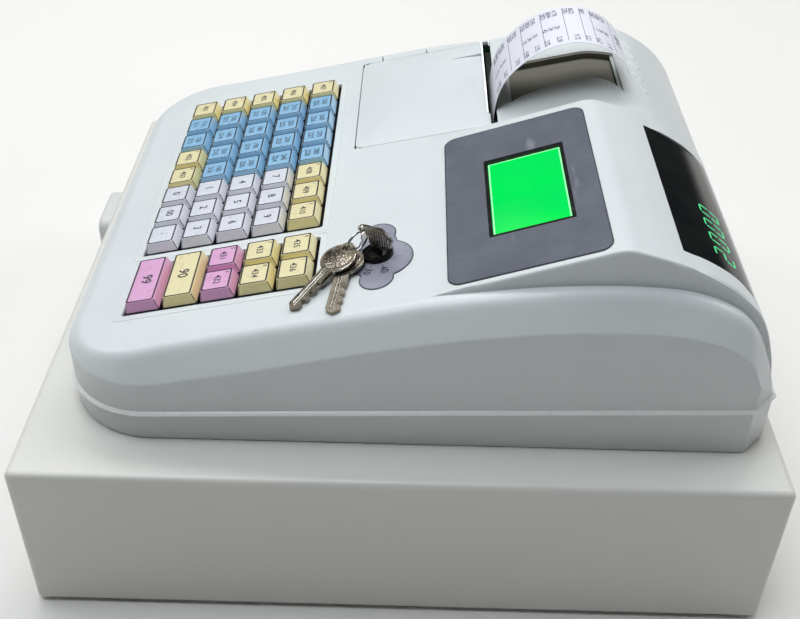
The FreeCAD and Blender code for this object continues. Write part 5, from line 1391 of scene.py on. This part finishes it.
for key_name, tail, tip in (("spare_key_a", (106.8, -30.6, 8.67), (143.6, -60.2, 1.35)),
                            ("spare_key_b", (104.7, -30.7, 4.55), (152.4, -37.6, 1.3))):
    at, length = spare_frame(tail, tip)
    half_t = 0.9
    arcs = [math.radians(t) for t in np.linspace(-122, 122, 40)]
    pad = np.array([(7.5 + 8.3 * math.cos(t), 8.3 * math.sin(t)) for t in arcs])
    parts_ = [solid_plate(pad, at, half_t - 0.1, half_t + 0.14, 0.1, 2), solid_plate(pad, at, -half_t - 0.14, -half_t + 0.1, 0.1, 2)]
    new_object(key_name + "_pad", *merge(parts_), key_rough_mat, key_name, slot="key_metal")
    grooves = []
    for side in (1, -1):
        z = side * (half_t - 0.28)
        grooves.append(tube([at(17.0, -1.5, z), at(length * 0.6, -1.5, z), at(length - 3.5, -1.5, z)], 0.55, 8))
        grooves.append(tube([at(17.0, 0.2, z), at(length * 0.6, 0.2, z), at(length - 2.5, 0.2, z)], 0.45, 8))
    loop_ = [at(7.5 + 9.6 * math.cos(t), 9.6 * math.sin(t), 0.0) for t in np.linspace(math.radians(-128), math.radians(128), 50)]
    grooves.append(tube(loop_, 0.88, 8))
    new_object(key_name + "_relief", *merge(grooves), key_edge_mat, key_name, slot="key_metal")


# ------------------------------------------------------------------ helper for softened edges on frame pieces (not applied)
def soften(name, width, angle=38.0, segments=2):
    ob = NODES[name]
    weld = ob.modifiers.new("weld", "WELD")
    weld.merge_threshold = 1e-6
    bev = ob.modifiers.new("soft", "BEVEL")
    bev.width = width / 1000.0
    bev.segments = segments
    bev.limit_method = "ANGLE"
    bev.angle_limit = math.radians(angle)
    bev.use_clamp_overlap = True


# ------------------------------------------------------------------ the rest of the frame's pieces
SLOT_MAT = {
    "housing_paint": paint_mat, "front_paint": front_mat, "case_plastic": case_mat, "case_lower_plastic": lower_mat,
    "foot_rubber": rubber_mat, "zinc_steel": zinc_mat, "spring_steel": spring_mat, "tray_plastic": tray_mat,
    "lock_metal": chrome_mat, "platen_rubber": platen_mat, "motor_metal": motor_mat,
    "pinion_brass": brass_mat, "head_metal": head_mat, "key_bed_plastic": bed_mat, "board": board_mat,
    "inlet_plastic": inlet_mat, "ticket_paper": paper_mat, "label_sheet": label_mat, "bezel_plastic": bezel_mat,
    "screen": lcd_mat, "dark_window": glass_mat, "module_plastic": bezel_mat, "plate_sheet": plate_mat,
    "barrel_black": barrel_mat, "key_metal": key_mat,
}
for part in frame["record"]["subparts"]:
    ob = NODES[part["node"]]
    if ob.hide_render:
        continue
    m = ring_mat if part["node"] == "key_ring" else SLOT_MAT.get(part["material_slot"], case_mat)
    ob.data.materials.clear()
    ob.data.materials.append(m.m)

floor_me = bpy.data.meshes.new("floor")
floor_me.from_pydata([(-6, -6, 0), (6, -6, 0), (6, 6, 0), (-6, 6, 0)], [], [(0, 1, 2, 3)])
floor = bpy.data.objects.new("floor", floor_me)
COL.objects.link(floor)
floor_mat = Mat("floor_pale", (0.86, 0.85, 0.82), 0.7).vary((0.84, 0.83, 0.80), 1.2)
floor_me.materials.append(floor_mat.m)
